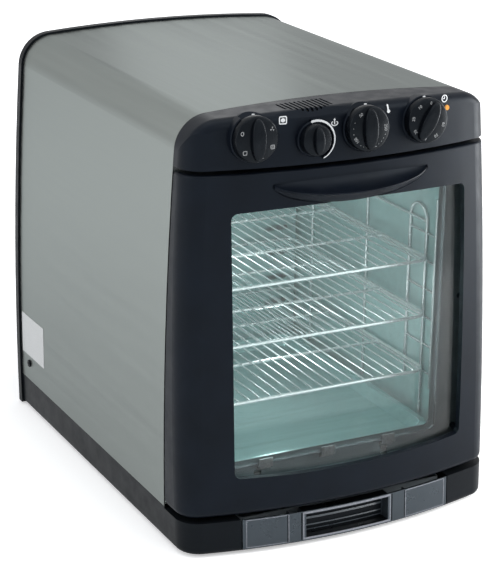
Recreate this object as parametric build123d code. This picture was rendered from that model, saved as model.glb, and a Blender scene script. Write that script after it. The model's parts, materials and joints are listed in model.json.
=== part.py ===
"""Countertop combi oven: bent steel wrap, moulded front, drop-down glazed door.

X runs to the right seen from the front, Y runs from the front to the back and Z is up.
The origin is under the middle of the oven, on the table. All sizes are in millimetres.
"""
from build123d import *
import math
import os

# Cooking racks and the cavity round them
rack_width = 325.0
rack_depth = 354.0
rack_side_gap = 10.0
rack_front_gap = 20.0
first_rack_height = 82.9
rack_pitch = 72.7
cavity_height = 340.0
cavity_wall = 1.2
cavity_corner_radius = 14.0
fan_space = 51.0
frame_setback = 1.0
frame_wall = 1.5
frame_flange = 14.0
frame_foot_gap = 2.2
frame_head_gap = 1.0
seal_width = 6.0
seal_door_gap = 0.6

# Layers between the cavity and the outer wrap
insulation_thickness = 20.0
insulation_gap = 0.4
side_air_gap = 14.3
floor_stack = 20.0
floor_sheet = 1.5
roof_insulation = 16.0
control_space = 98.8
motor_space = 41.0

# Steel wrap
wrap_wall = 1.2
side_bow_radius = 5154.0
side_widest_height = 112.0
crown_radius = 2135.0
shoulder_radius = 41.0
rear_flange = 18.0

# Moulded front: fascia, door and front of the base
front_bow_radius = 742.0
front_corner_radius = 30.0
front_reach = 82.0
front_lean = 3.06
top_roll_radius = 12.0
inner_roll_chamfer = 6.0
moulding_wall = 3.0
fascia_height = 62.0
fascia_to_wrap_gap = 0.8
door_to_fascia_gap = 5.5
door_to_wrap_gap = 3.0
door_lift = 2.6
door_top_radius = 3.0
door_bottom_radius = 7.0
door_back_chamfer = 4.0

# Base and feet
base_height = 46.0
base_clearance = 3.0
base_front_drop = 2.8
base_top_gap = 0.4
base_floor = 2.5
base_edge_radius = 6.0
foot_radius = 14.0
foot_plug_radius = 4.0
foot_inset = 42.0

# Rear cover
rear_cover_depth = 13.0
rear_cover_proud = 3.0
rear_panel_wall = 3.0
rear_recess_width = 110.0
rear_recess_height = 44.0
rear_recess_depth = 24.0
rear_slot_count = 9
rear_slot_pitch = 9.0
rear_slot_width = 4.0
rear_slot_length = 110.0
rear_slot_x = 78.0
cover_screw_inset = 12.0
cover_screw_length = 13.0
screw_radius = 1.5
screw_gap = 0.2
head_radius = 3.15
head_height = 2.4
boss_radius = 4.0

# Connections in the rear recess
recess_left_inset = 34.0
recess_rise = 14.0
gland_thread = 7.5
gland_inset = 30.0
inlet_inset = 80.0
thread_gap = 0.3
bond_height = 71.0
bond_setback = 437.0
bond_radius = 2.5

# Door window and glass
window_left_stile = 61.0
window_right_stile = 50.0
window_sill = 46.5
window_head = 45.0
window_corner_radius = 8.0
window_edge_bow = 4.0
reveal_depth = 8.0
reveal_wall = 2.5
glass_thickness = 4.0
glass_overlap = 7.0
inner_window_inset = 5.0
liner_wall = 1.2
liner_rim = 7.0
seat_gap = 0.3
touch_gap = 0.05
clip_wall = 1.2
door_screw_inset = 22.0
door_screw_length = 8.0

# Door hinge
hinge_spacing = 88.0
hinge_setback = 16.0
hinge_rise = 14.0
pin_radius = 3.0
pin_running_gap = 0.05
eye_radius = 6.0
arm_width = 7.0
arm_side_gap = 1.5
ear_thickness = 3.0
arm_foot_height = 7.5
arm_foot_rise = 3.5
ear_height = 19.0
ear_front = 14.0
ear_back = 9.0
swing_drop = 5.0
swing_setback = 2.0

# Door handle lip
handle_half_width = 102.0
handle_reach = 19.0
handle_tip_drop = 14.5
handle_scoop_rise = 5.0
handle_lip_fall = 13.0
handle_low_fall = 28.0
handle_sink = 1.6
handle_fit = 0.45

# Knobs
knob_radius = 24.4
small_knob_radius = 16.6
knob_skirt = 9.0
knob_grip = 13.0
knob_grip_width = 16.0
knob_seat_gap_side = 0.6
knob_ring_wall = 2.8
knob_cup_depth = 7.5
knob_ring_rise = 4.0
knob_seat_sink = 1.5
knob_seat_gap = 1.0
knob_height = 34.5
mode_x = -125.0
humidity_x = -54.0
humidity_drop = 7.0
temperature_x = 11.0
timer_x = 92.0
timer_turn = -30.0
shaft_radius = 3.0
shaft_gap = 0.05
controls = {
    "mode": (19.0, 32.0, False),
    "humidity": (12.0, 16.0, False),
    "temperature": (18.0, 26.0, True),
    "timer": (22.0, 30.0, False),
}
bush_radius = 5.0
signal_x = 129.0
signal_height = 43.0
signal_radius = 3.2
bracket_wall = 1.5
bracket_setback = 34.0
bracket_half_width = 160.0
bracket_height = 40.0
bracket_rib = 20.0
bracket_boss_x = 152.0
bracket_boss_heights = (16.0, 46.0)

# Vent slots on the fascia roll
vent_x = -50.0
vent_slot_count = 11
vent_slot_pitch = 5.6
vent_slot_width = 2.8
vent_slot_setback = 5.0
vent_slot_sweep = 12.0
vent_bevel_half_width = 45.0

# Condensate drawer
drawer_half_width = 140.5
drawer_side_gap = 1.5
drawer_reach = 145.0
drawer_stop_gap = 5.0
drawer_wall = 2.2
pull_left = -62.0
pull_right = 50.0
pull_border = 6.5
pull_depth = 16.0
runner_height = 2.0

# Wire work
frame_wire = 2.5
rack_wire = 1.3
rack_wire_count = 21
rack_corner_radius = 16.0
ladder_wire = 2.0
rail_overlap = 1.5
ladder_head = 40.0

# Drip pan
pan_depth = 15.0
pan_wall = 1.0
pan_flange = 7.0
pan_corner_radius = 24.0
pan_front_gap = 1.8

# Fan, heaters, motor
fan_radius = 62.0
fan_blades = 10
fan_depth = 24.0
fan_shaft_radius = 4.0
baffle_setback = 45.0
baffle_wall = 1.2
ring_radius = 74.0
element_radius = 3.5
motor_radius = 38.0
motor_length = 34.0
steam_radius = 4.0
steam_drop = 68.0
flue_radius = 9.0
flue_x = 120.0
flue_drop = 22.0
probe_radius = 2.5
oven_lamp_setback = 120.0
oven_lamp_drop = 40.0
hole_gap = 0.3

# Levels and planes that follow from the sizes above
cavity_half_width = rack_width / 2 + rack_side_gap
half_width = (cavity_half_width + cavity_wall + insulation_gap * 2 + insulation_thickness
              + side_air_gap + wrap_wall)
wrap_bottom = base_height
cavity_floor = wrap_bottom + floor_stack
cavity_roof = cavity_floor + cavity_height
wrap_top = cavity_roof + cavity_wall + roof_insulation + control_space
fascia_bottom = wrap_top - fascia_height
door_bottom = wrap_bottom + door_lift
door_top = fascia_bottom - door_to_fascia_gap
cavity_depth = rack_front_gap + rack_depth + fan_space
wrap_depth = frame_setback + cavity_depth + motor_space
lean = math.radians(front_lean)
base_reach = front_reach + (door_bottom - base_clearance) * math.tan(lean)
overall_depth = base_reach + wrap_depth + rear_cover_depth
wrap_front = -overall_depth / 2 + base_reach
wrap_back = wrap_front + wrap_depth
rear_face = wrap_back + rear_cover_depth
cavity_front = wrap_front + frame_setback
cavity_back = cavity_front + cavity_depth
door_back = wrap_front - door_to_wrap_gap
front_axis = wrap_front - front_reach + front_bow_radius / math.cos(lean)
hinge_y = wrap_front - front_reach + hinge_setback
hinge_z = door_bottom + hinge_rise
swing_low = hinge_z - swing_drop
window_left = window_left_stile - half_width
window_right = half_width - window_right_stile
window_bottom = door_bottom + window_sill
window_top = door_top - window_head
base_front_top = base_height - base_front_drop
rack_levels = [cavity_floor + first_rack_height + rack_pitch * step for step in range(3)]
fan_z = cavity_floor + cavity_height / 2
lamp_y = cavity_back - oven_lamp_setback
lamp_z = cavity_roof - oven_lamp_drop
flue_z = cavity_roof - flue_drop
grill_z = cavity_roof - 12
recess_left = recess_left_inset - half_width
recess_floor = rear_face - rear_recess_depth
gland_x = recess_left + gland_inset
inlet_x = recess_left + inlet_inset
gland_z = wrap_bottom + recess_rise + rear_recess_height / 2
arm_foot_low = base_height + arm_foot_rise
arm_foot_high = arm_foot_low + arm_foot_height
handle_tip = door_top - handle_tip_drop
far = 1500.0


def along_y(sketch, y_low, y_high):
    """Carry a front-view sketch from one depth to another."""
    return extrude(Plane.XZ.offset(-y_low) * sketch, amount=y_low - y_high)


def along_x(sketch, x_low, x_high):
    """Carry a side-view sketch across the oven."""
    return extrude(Plane.YZ.offset(x_low) * sketch, amount=x_high - x_low)


def along_z(sketch, z_low, z_high):
    """Carry a plan sketch from one height to another."""
    return extrude(Plane.XY.offset(z_low) * sketch, amount=z_high - z_low)


def block(x_low, x_high, y_low, y_high, z_low, z_high):
    """A plain box between two corners, for cutting and for flat bars."""
    middle = Pos((x_low + x_high) / 2, (y_low + y_high) / 2, (z_low + z_high) / 2)
    return middle * Box(x_high - x_low, y_high - y_low, z_high - z_low)


def rod(start, end, radius):
    """A straight round rod between two points."""
    run = Vector(*end) - Vector(*start)
    return extrude(Plane(origin=start, z_dir=run) * Circle(radius), amount=run.length)


def pipe(points, radii, radius):
    """A round tube bent at each corner of a polyline."""
    path = FilletPolyline(*points, radius=radii)
    return sweep(Plane(origin=path @ 0, z_dir=path % 0) * Circle(radius), path=path)


def side_outline(inset, low, high):
    """Front view between the two bowed sides, with flat ends."""
    centre = side_bow_radius - half_width
    right = Pos(-centre, side_widest_height) * Circle(side_bow_radius - inset)
    left = Pos(centre, side_widest_height) * Circle(side_bow_radius - inset)
    return right & left & Pos(0, (low + high) / 2) * Rectangle(3 * half_width, high - low)


def side_half_width(z):
    """Half width of the bowed sides at a height."""
    return half_width - (z - side_widest_height) ** 2 / (2 * side_bow_radius)


def wrap_outline(inset, low):
    """Front view of the wrap: bowed sides, crowned top and round shoulders."""
    crown = Pos(0, wrap_top - crown_radius) * Circle(crown_radius - inset)
    outline = side_outline(inset, low, wrap_top + 20) & crown
    shoulders = outline.vertices().sort_by(Axis.Y)[-2:]
    return fillet(shoulders, shoulder_radius - inset)


def bowed_front(inset):
    """Large leaning cylinder whose near side is the bowed front surface."""
    place = Location((0, front_axis, door_bottom), (-front_lean, 0, 0))
    return place * Cylinder(front_bow_radius - inset, far)


def front_surface_y(x, z):
    """Depth of the bowed front surface at a point of the front view."""
    sweep_in = math.sqrt(front_bow_radius ** 2 - x ** 2) / math.cos(lean)
    return front_axis + (z - door_bottom) * math.tan(lean) - sweep_in


def upright_front(inset, low, high, back):
    """Front moulding between two heights with round upright corners."""
    body = along_y(side_outline(inset, low, high), wrap_front - 2 * front_reach, back) & bowed_front(inset)
    sides = [e for e in body.edges() if abs(e.center().X) > half_width / 2
             and e.center().Y < back - 5 and e.bounding_box().size.Z > (high - low) / 2]
    return fillet(sides, front_corner_radius - inset)


def crowned_front(inset, low, back):
    """Front moulding up to the crown, with the roll along its top edge."""
    body = along_y(wrap_outline(inset, low), wrap_front - 2 * front_reach, back) & bowed_front(inset)
    rim = [e for e in body.edges() if e.bounding_box().max.Y < back - 5 and e.bounding_box().max.Z > low + 1]
    return chamfer(rim, inner_roll_chamfer) if inset else fillet(rim, top_roll_radius)


def box_shell(x_low, x_high, y_low, y_high, z_low, z_high, radius, wall):
    """Tray of bent sheet, open at the front, with round long corners and a back."""
    size = (x_high - x_low, z_high - z_low)
    spot = Pos((x_low + x_high) / 2, (z_low + z_high) / 2)
    outer = spot * RectangleRounded(size[0] + 2 * wall, size[1] + 2 * wall, radius + wall)
    inner = spot * RectangleRounded(size[0], size[1], radius)
    return along_y(outer, y_low, y_high + wall) - along_y(inner, y_low - 1, y_high)


control_plane = Plane(origin=(0, wrap_front - bracket_setback, fascia_bottom + fascia_height / 2),
                      x_dir=(1, 0, 0), z_dir=(0, -math.cos(lean), math.sin(lean)))
dials = {
    "mode": (mode_x, knob_height, knob_radius, 0.0),
    "humidity": (humidity_x, knob_height - humidity_drop, small_knob_radius, 0.0),
    "temperature": (temperature_x, knob_height, knob_radius, 0.0),
    "timer": (timer_x, knob_height, knob_radius, timer_turn),
}


def on_controls(x, height, level):
    """Place on the control axis direction: across, up the fascia and out of it."""
    rise = (height - fascia_height / 2) / math.cos(lean)
    return control_plane.location * Pos(x, rise, level)


def seat_level(x, height):
    """How far the fascia surface stands out from the control plane."""
    z = fascia_bottom + height
    out = control_plane.origin.Y - front_surface_y(x, z)
    return out * math.cos(lean) + (z - control_plane.origin.Z) * math.sin(lean)


def outer_part_of_base():
    """Closed form of the base, lower in front of the door and rounded underneath."""
    body = upright_front(0, base_clearance, base_height - base_top_gap, wrap_back)
    rim = body.faces().sort_by(Axis.Z)[0].edges().filter_by(lambda e: e.center().Y < wrap_back - 1)
    body = fillet(rim, base_edge_radius)
    return body - block(-far, far, -far, wrap_front - frame_setback, base_front_top, far)


def inner_part_of_base():
    """Hollow of the base, open at the top and at the back."""
    low = base_clearance + base_floor
    hollow = upright_front(moulding_wall, low, base_height + cavity_height, wrap_back + 5)
    return hollow - block(-far, far, -far, wrap_front - frame_setback, base_front_top - base_floor, far)


def base_housing():
    """Moulded tray with a bay for the drawer between two front corner blocks."""
    shell = outer_part_of_base() - inner_part_of_base()
    bay = drawer_half_width + drawer_side_gap
    shell -= block(-bay, bay, -far, wrap_front - 20, base_clearance + base_floor, far)
    walls = Part()
    for side in (-1, 1):
        near, out = sorted((side * bay, side * (bay + moulding_wall)))
        walls += block(near, out, wrap_front - 2 * front_reach, wrap_front + drawer_reach + drawer_stop_gap,
                       base_clearance + 1, base_front_top)
    shell += walls & outer_part_of_base()
    for x, y in foot_places():
        shell -= Pos(x, y, base_clearance) * Cylinder(foot_plug_radius, 20)
    return shell


def foot_places():
    side = half_width - foot_inset
    return [(x, y) for x in (-side, side) for y in (wrap_front - 18, wrap_back - foot_inset)]


def feet():
    """Four rubber feet, each with a plug through the base floor."""
    group = []
    for x, y in foot_places():
        pad = Pos(x, y, 0) * extrude(Circle(foot_radius), amount=base_clearance)
        pad = chamfer(pad.edges().sort_by(Axis.Z)[0], 1.0)
        plug = extrude(Circle(foot_plug_radius), amount=base_clearance + base_floor)
        group.append(pad + Pos(x, y, 1) * plug)
    return Compound(group)


def chassis_floor():
    """Steel floor under the cavity, over the drawer bay."""
    edge = wrap_wall + seat_gap
    top = base_height + floor_sheet
    plate = along_y(side_outline(edge, base_height, top), wrap_front + 4, wrap_back - wrap_wall - seat_gap)
    lips = along_y(side_outline(edge, base_height, base_height + 10), wrap_front + 30, wrap_back - 30)
    hollow = side_outline(edge + floor_sheet, base_height - 1, base_height + 11)
    lips -= along_y(hollow, wrap_front, wrap_back)
    return plate + lips


def steel_wrap():
    """One bent sheet that makes both sides and the top."""
    outer = along_y(wrap_outline(0, wrap_bottom), wrap_front, wrap_back)
    inner = along_y(wrap_outline(wrap_wall, wrap_bottom - 5), wrap_front - 1, wrap_back - wrap_wall)
    opening = along_y(wrap_outline(rear_flange, wrap_bottom - 5), wrap_front, wrap_back + 1)
    shell = outer - inner - opening
    for x, z in rear_screw_places():
        shell -= along_y(Pos(x, z) * Circle(screw_radius + screw_gap), wrap_back - 5, wrap_back + 1)
    side, y, z = bonding_place()
    return shell - rod((side - 5, y, z), (side + 5, y, z), bond_radius + thread_gap)


def rear_recess_box(grow):
    """Space of the connection recess, low on the left seen from the front."""
    low = wrap_bottom + recess_rise
    return block(recess_left - grow, recess_left + rear_recess_width + grow, recess_floor - grow,
                 rear_face + 5, low - grow, low + rear_recess_height + grow)


def rear_cover():
    """Moulded frame round the back with slotted panel and connection recess."""
    outline = wrap_outline(-rear_cover_proud, base_clearance)
    cover = along_y(outline, wrap_back, rear_face)
    cover = fillet(cover.faces().sort_by(Axis.Y)[-1].edges().filter_by(
        lambda e: e.center().Z > base_clearance + 1), 3.0)
    hollow = wrap_outline(moulding_wall, base_clearance + moulding_wall)
    cover -= along_y(hollow, wrap_back - 1, rear_face - rear_panel_wall)
    cover += rear_recess_box(2.0) & along_y(wrap_outline(8, base_height), wrap_back - 30, rear_face - 1)
    cover -= rear_recess_box(0)
    slots = Part()
    for row_height in (wrap_top - 120, wrap_bottom + 150):
        for side in (-1, 1):
            for step in range(rear_slot_count):
                z = row_height + step * rear_slot_pitch
                slots += along_y(Pos(side * rear_slot_x, z) * SlotOverall(rear_slot_length, rear_slot_width),
                                 rear_face - 2 * rear_panel_wall, rear_face + 1)
    cover -= slots
    for x, z in rear_screw_places():
        cover += along_y(Pos(x, z) * Circle(boss_radius), wrap_back + touch_gap, rear_face - 1)
        cover -= along_y(Pos(x, z) * Circle(screw_radius + screw_gap), wrap_back - 1, rear_face + 1)
        cover -= along_y(Pos(x, z) * Circle(head_radius + 2 * screw_gap),
                         rear_face - head_height - touch_gap, rear_face + 1)
    for x in (gland_x, inlet_x):
        hole = Pos(x, gland_z) * Circle(gland_thread + thread_gap)
        cover -= along_y(hole, recess_floor - 5, recess_floor + 1)
    return cover


def rear_screw_places():
    """Across and up, six screws that follow the bowed sides."""
    return [(side * (side_half_width(z) - cover_screw_inset), z) for side in (-1, 1)
            for z in (wrap_bottom + 80, wrap_bottom + 250, wrap_top - 60)]


def pan_head_screw(length):
    """Round-headed screw with a cross recess, head up and shank down."""
    head = extrude(Circle(head_radius), amount=head_height)
    head = fillet(head.edges().sort_by(Axis.Z)[-1], head_height / 2)
    for turn in (0, 90):
        slot = Box(1.2 * head_radius, head_radius / 3, head_height)
        head -= Rot(0, 0, turn) * Pos(0, 0, head_height) * slot
    return head + Pos(0, 0, -length) * extrude(Circle(screw_radius), amount=length + 0.1)


def rear_cover_screws():
    """Six screws in the counterbores of the rear cover."""
    group = []
    for x, z in rear_screw_places():
        place = Location((x, rear_face, z), (-90, 0, 0))
        group.append(place * Pos(0, 0, -head_height) * pan_head_screw(cover_screw_length))
    return Compound(group)


def front_frame():
    """Pressed steel frame that joins the cavity to the wrap and seats the seal."""
    low = base_height + frame_foot_gap
    high = fascia_bottom - frame_head_gap
    edge = wrap_wall + seat_gap
    sheet = along_y(side_outline(edge, low, high), cavity_front, cavity_front + frame_flange)
    hollow = side_outline(edge + frame_wall, low + frame_wall, high - frame_wall)
    sheet -= along_y(hollow, cavity_front + frame_wall, cavity_front + 2 * frame_flange)
    mouth = Pos(0, fan_z) * RectangleRounded(2 * cavity_half_width, cavity_height, cavity_corner_radius)
    return sheet - along_y(mouth, cavity_front - frame_flange, cavity_front + frame_flange)


def door_seal():
    """Soft hollow bead round the cavity mouth, just clear of the shut door."""
    spot = Pos(0, fan_z)
    outer = spot * RectangleRounded(2 * (cavity_half_width + seal_width), cavity_height + 2 * seal_width,
                                    cavity_corner_radius + seal_width)
    inner = spot * RectangleRounded(2 * cavity_half_width + 1, cavity_height + 1, cavity_corner_radius)
    ring = along_y(outer - inner, door_back + seal_door_gap, cavity_front)
    near_edges = ring.faces().sort_by(Axis.Y)[0].edges()
    return fillet(near_edges, 1.2)


def oven_cavity():
    """Deep-drawn stainless liner with a holed back for the fan shaft and pipes."""
    liner = box_shell(-cavity_half_width, cavity_half_width, cavity_front + frame_wall, cavity_back,
                      cavity_floor, cavity_roof, cavity_corner_radius, cavity_wall)
    liner -= along_y(Pos(0, fan_z) * Circle(fan_shaft_radius + 1.5), cavity_back - 5, cavity_back + 5)
    for x, z, radius in back_wall_holes():
        liner -= along_y(Pos(x, z) * Circle(radius + hole_gap), cavity_back - 5, cavity_back + 5)
    liner -= rod((-cavity_half_width - 10, lamp_y, lamp_z), (-cavity_half_width + 5, lamp_y, lamp_z), 17.0)
    return liner


def back_wall_holes():
    """Centre and radius of each pipe and element tail through the back wall."""
    return [(-46.0, fan_z + 90, element_radius), (46.0, fan_z + 90, element_radius),
            (-20.0, fan_z - steam_drop, steam_radius), (flue_x, flue_z, flue_radius),
            (-140.0, grill_z, element_radius), (-110.0, grill_z, element_radius),
            (148.0, fan_z + 100, probe_radius)]


def cavity_insulation():
    """Mineral wool blanket on four sides of the cavity."""
    inner = (cavity_half_width + cavity_wall + insulation_gap)
    outer = inner + insulation_thickness
    low = cavity_floor - cavity_wall - insulation_gap
    high = cavity_roof + cavity_wall + insulation_gap
    middle = (low + high) / 2
    top = high + roof_insulation - 2
    bottom = low - 13
    ring = Pos(0, (top + bottom) / 2) * RectangleRounded(2 * outer, top - bottom, cavity_corner_radius + 8)
    ring -= Pos(0, middle) * RectangleRounded(2 * inner, high - low, cavity_corner_radius + 1)
    blanket = along_y(ring, cavity_front + 20, cavity_back - 4)
    return blanket - rod((-half_width, lamp_y, lamp_z), (-cavity_half_width + 5, lamp_y, lamp_z), 22.0)


def fan_baffle():
    """Louvred panel in front of the fan, with a round grille and side slots."""
    y = cavity_back - baffle_setback
    height = cavity_height - 8
    panel = Pos(0, fan_z) * RectangleRounded(2 * cavity_half_width - 8, height, 10)
    for ring_step in (1, 2, 3):
        spokes = 4 + 4 * ring_step
        for spoke in range(spokes):
            angle = 360.0 * spoke / spokes
            panel -= Pos(0, fan_z) * Rot(0, 0, angle) * Pos(13.0 * ring_step, 0) * SlotOverall(9.5, 5.0)
    for side in (-1, 1):
        for step in range(7):
            panel -= Pos(side * (cavity_half_width - 34), fan_z + (step - 3) * 36) * SlotOverall(34, 7)
    for x, z, radius in back_wall_holes()[3:]:
        panel -= Pos(x, z) * Circle(radius + 2 * hole_gap)
    plate = along_y(panel, y, y + baffle_wall)
    for side in (-1, 1):
        for z in (fan_z - 120, fan_z + 120):
            plate += rod((side * 120, y + 0.5, z), (side * 120, cavity_back - touch_gap, z), 3.0)
    return plate


def ring_heater():
    """Two-turn heating element round the fan with its tails through the back."""
    turns = Part()
    for y in (cavity_back - 14, cavity_back - 26):
        turns += Location((0, y, fan_z), (90, 0, 0)) * Torus(ring_radius + 3, element_radius)
    for x, z, radius in back_wall_holes()[:2]:
        rise = fan_z + math.sqrt((ring_radius + 3) ** 2 - x ** 2)
        turns += rod((x, cavity_back - 14, rise), (x, cavity_back - 14, z + radius), radius)
        turns += rod((x, cavity_back - 27, z), (x, cavity_back + 18, z), radius)
    spread = ring_radius + 3
    for x, z in ((-spread, 0), (spread, 0), (0, -spread)):
        turns += Pos(x, cavity_back - 20, fan_z + z) * Box(4, 16, 4)
    return turns


def grill_element():
    """Serpentine top element hung under the cavity roof."""
    z = grill_z
    near = cavity_front + 50
    rear = cavity_back - baffle_setback - 25
    xs = [-140, -84, -28, 28, 84, 140]
    points = [(xs[0], cavity_back + 18, z)]
    for step, x in enumerate(xs):
        first, second = (rear, near) if step % 2 == 0 else (near, rear)
        if step > 0:
            points.append((x, first, z))
        points.append((x, second + (12 if x == xs[-1] else 0), z))
    points.append((-110.0, rear + 12, z))
    points.append((-110.0, cavity_back + 18, z))
    return pipe(points, 10.0, element_radius)


def ladder(side):
    """Wire ladder on one side wall: posts, a head wire and a rail under each rack."""
    post_x = side * (cavity_half_width - ladder_wire - seat_gap)
    rail_x = side * (rack_width / 2 - rail_overlap)
    posts = [cavity_front + 48, cavity_front + 190, cavity_front + 335]
    low = cavity_floor + cavity_corner_radius
    head = rack_levels[-1] + ladder_head
    frame = Part()
    for y in posts:
        frame += rod((post_x, y, low), (post_x, y, head), ladder_wire)
    frame += rod((post_x, posts[0], head), (post_x, posts[-1], head), ladder_wire)
    for level in rack_levels:
        z = level - frame_wire - ladder_wire - seat_gap
        frame += rod((rail_x, posts[0] - 20, z), (rail_x, posts[-1] + 12, z), ladder_wire)
        for y in posts:
            frame += rod((post_x, y, z), (rail_x, y, z), 0.8 * ladder_wire)
    return frame


def wire_rack(level):
    """Shelf of parallel wires welded over a round-cornered frame."""
    y_low = cavity_front + rack_front_gap
    half = rack_width / 2 - frame_wire
    front = y_low + frame_wire
    back = y_low + rack_depth - frame_wire
    corner = rack_corner_radius
    path = Pos(0, (front + back) / 2, level) * RectangleRounded(2 * half, back - front, corner)
    loop = path.wire()
    start = Plane(origin=loop @ 0, z_dir=loop % 0)
    frame = sweep(start * Circle(frame_wire), path=loop)
    bars = [rod((-half, y, level), (half, y, level), 2.0)
            for y in (front + (back - front) * share for share in (0.32, 0.68))]
    lift = level + rack_wire * 0.9
    span = 2 * half - 2 * corner
    wires = []
    for step in range(rack_wire_count):
        x = -span / 2 + span * step / (rack_wire_count - 1)
        profile = RegularPolygon(rack_wire * 1.08, 6)
        start = Plane(origin=(x, front, lift), x_dir=(1, 0, 0), z_dir=(0, 1, 0))
        wires.append(extrude(start * profile, amount=back - front))
    return frame.fuse(*bars, *wires)


def drip_pan():
    """Shallow pressed pan with round corners and a flat rim."""
    y_low = cavity_front + pan_front_gap
    length = rack_depth + rack_front_gap - pan_front_gap
    low = cavity_floor + 0.6
    top = low + pan_depth

    def ring(inset):
        """Rounded plan outline drawn in from the rim."""
        radius = pan_corner_radius - min(inset, pan_flange + pan_wall)
        size = (rack_width - 2 * inset, length - 2 * inset)
        return Pos(0, y_low + length / 2) * RectangleRounded(*size, radius)

    pan = loft([Plane.XY.offset(low) * ring(2 * pan_flange), Plane.XY.offset(top) * ring(pan_flange)])
    pan += along_z(ring(0), top - pan_wall, top)
    inner_floor = Plane.XY.offset(low + pan_wall) * ring(2 * pan_flange + pan_wall)
    return pan - loft([inner_floor, Plane.XY.offset(top + 0.01) * ring(pan_flange + pan_wall)])


def fan_wheel():
    """Radial fan: back disc, hub and curved blades."""
    y = cavity_back - 6
    disc = Circle(fan_radius) - Circle(fan_shaft_radius)
    wheel = along_y(Pos(0, fan_z) * disc, y - 1.2, y)
    wheel += along_y(Pos(0, fan_z) * (Circle(11) - Circle(fan_shaft_radius)), y - 14, y)
    tip = fan_radius - 1
    blade = make_face(Polyline((20, 1.2), (20, -1.2)) + ThreePointArc((20, -1.2), (41, 6.6), (tip, 2.6))
                      + Line((tip, 2.6), (tip, 5.0)) + ThreePointArc((tip, 5.0), (41, 9.0), (20, 1.2)))
    for step in range(fan_blades):
        turned = Pos(0, fan_z) * Rot(0, 0, 360.0 * step / fan_blades) * blade
        wheel += along_y(turned, y - fan_depth, y - 1)
    return wheel


def fan_shaft():
    return rod((0, cavity_back - 24, fan_z), (0, cavity_back + 20, fan_z), fan_shaft_radius)


def fan_motor():
    """Short motor behind the cavity with end bells and a shaft bore."""
    front = cavity_back + 5.0
    body = along_y(Pos(0, fan_z) * Circle(motor_radius), front + 5, front + motor_length - 3)
    body += along_y(Pos(0, fan_z) * Circle(motor_radius - 9), front, front + motor_length)
    body += along_y(Pos(0, fan_z) * Circle(9), front - 2, front)
    for step in range(8):
        angle = 45.0 * step
        slot = block(-2, 2, front + 4, front + 9, motor_radius - 14, motor_radius - 5)
        body -= Pos(0, 0, fan_z) * Rot(0, angle, 0) * slot
    return body - along_y(Pos(0, fan_z) * Circle(fan_shaft_radius + shaft_gap), front - 3, front + 20)


def motor_bracket():
    """Three-armed plate that holds the motor on the cavity's back."""
    plate = Pos(0, fan_z) * (Circle(motor_radius + 10) - Circle(motor_radius - 8.5))
    for angle in (90, 210, 330):
        arm = Pos(0, fan_z) * Rot(0, 0, angle) * Pos(motor_radius + 18, 0) * Rectangle(40, 14)
        plate += arm - Pos(0, fan_z) * Circle(motor_radius - 8.5)
    front = cavity_back + 8.2
    solid = along_y(plate, front, front + 1.5)
    for angle in (90, 210, 330):
        x = (motor_radius + 31) * math.cos(math.radians(angle))
        z = fan_z + (motor_radius + 31) * math.sin(math.radians(angle))
        solid += rod((x, cavity_back + cavity_wall + 0.05, z), (x, front + 0.5, z), 4.0)
    return solid


def lamp_cover():
    """Domed glass over the cavity lamp, in the left wall."""
    edge = -cavity_half_width
    profile = Polyline((edge + 0.3, 17), (edge + 0.3, 0), (edge + 7, 0))
    face = make_face(profile + ThreePointArc((edge + 7, 0), (edge + 5.4, 11), (edge + 0.3, 17)))
    dome = revolve(Plane.XY * face, axis=Axis.X)
    neck = rod((edge - 3.5, 0, 0), (edge + 0.4, 0, 0), 16.5)
    ring = Pos(0, lamp_y, lamp_z) * (dome + neck)
    bore = rod((edge - 4, lamp_y, lamp_z), (edge + 3, lamp_y, lamp_z), 13.5)
    return ring - bore


def lamp_holder():
    """Ceramic holder and bulb behind the lamp cover."""
    edge = -cavity_half_width
    cup = rod((edge - 22, lamp_y, lamp_z), (edge - 4.0, lamp_y, lamp_z), 20.0)
    cup -= rod((edge - 18, lamp_y, lamp_z), (edge - 3, lamp_y, lamp_z), 15.0)
    bulb = rod((edge - 19, lamp_y, lamp_z), (edge - 2, lamp_y, lamp_z), 7.0)
    return cup + bulb


def steam_pipe():
    """Bent pipe that drips water on to the fan."""
    x, z = back_wall_holes()[2][:2]
    start = (x, cavity_back - 9.0, z)
    y = cavity_back + 16
    route = [start, (x, y, z), (x - 40, y, z - 40), (inlet_x, y, gland_z + 42), (inlet_x, y, gland_z + 20)]
    return pipe(route, 9.0, steam_radius)


def water_valve():
    """Solenoid valve with its inlet stub in the connection recess."""
    top = gland_z + 19.8
    back = recess_floor - 2.2
    body = block(inlet_x - 11, inlet_x + 11, back - 22, back, gland_z - 14, top)
    body = fillet(body.edges().filter_by(Axis.Z), 3.0)
    stub = rod((inlet_x, back - 2, gland_z), (inlet_x, rear_face - 6, gland_z), gland_thread)
    collar = gland_thread + 3.5
    stub += rod((inlet_x, recess_floor + thread_gap, gland_z), (inlet_x, recess_floor + 4, gland_z), collar)
    bore = rod((inlet_x, recess_floor + 4, gland_z), (inlet_x, rear_face, gland_z), gland_thread - 2)
    return body + stub - bore


def cavity_vent():
    """Flue from the cavity's back wall to the slots of the rear cover."""
    y_end = rear_face - rear_panel_wall - 1.0
    tube = rod((flue_x, cavity_back - 6, flue_z), (flue_x, y_end, flue_z), flue_radius)
    return tube - rod((flue_x, cavity_back - 7, flue_z), (flue_x, y_end + 1, flue_z), flue_radius - 1.2)


def terminal_block():
    """Mains terminals on the chassis floor beside the gland."""
    z_low = base_height + floor_sheet
    y_high = recess_floor - 4
    x_low = gland_x + 14
    body = block(x_low, x_low + 20, y_high - 18, y_high, z_low, z_low + 16)
    for step in range(3):
        body -= Pos(x_low + 4 + 6 * step, y_high - 9, z_low + 16) * Cylinder(1.8, 14)
    return body


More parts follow.
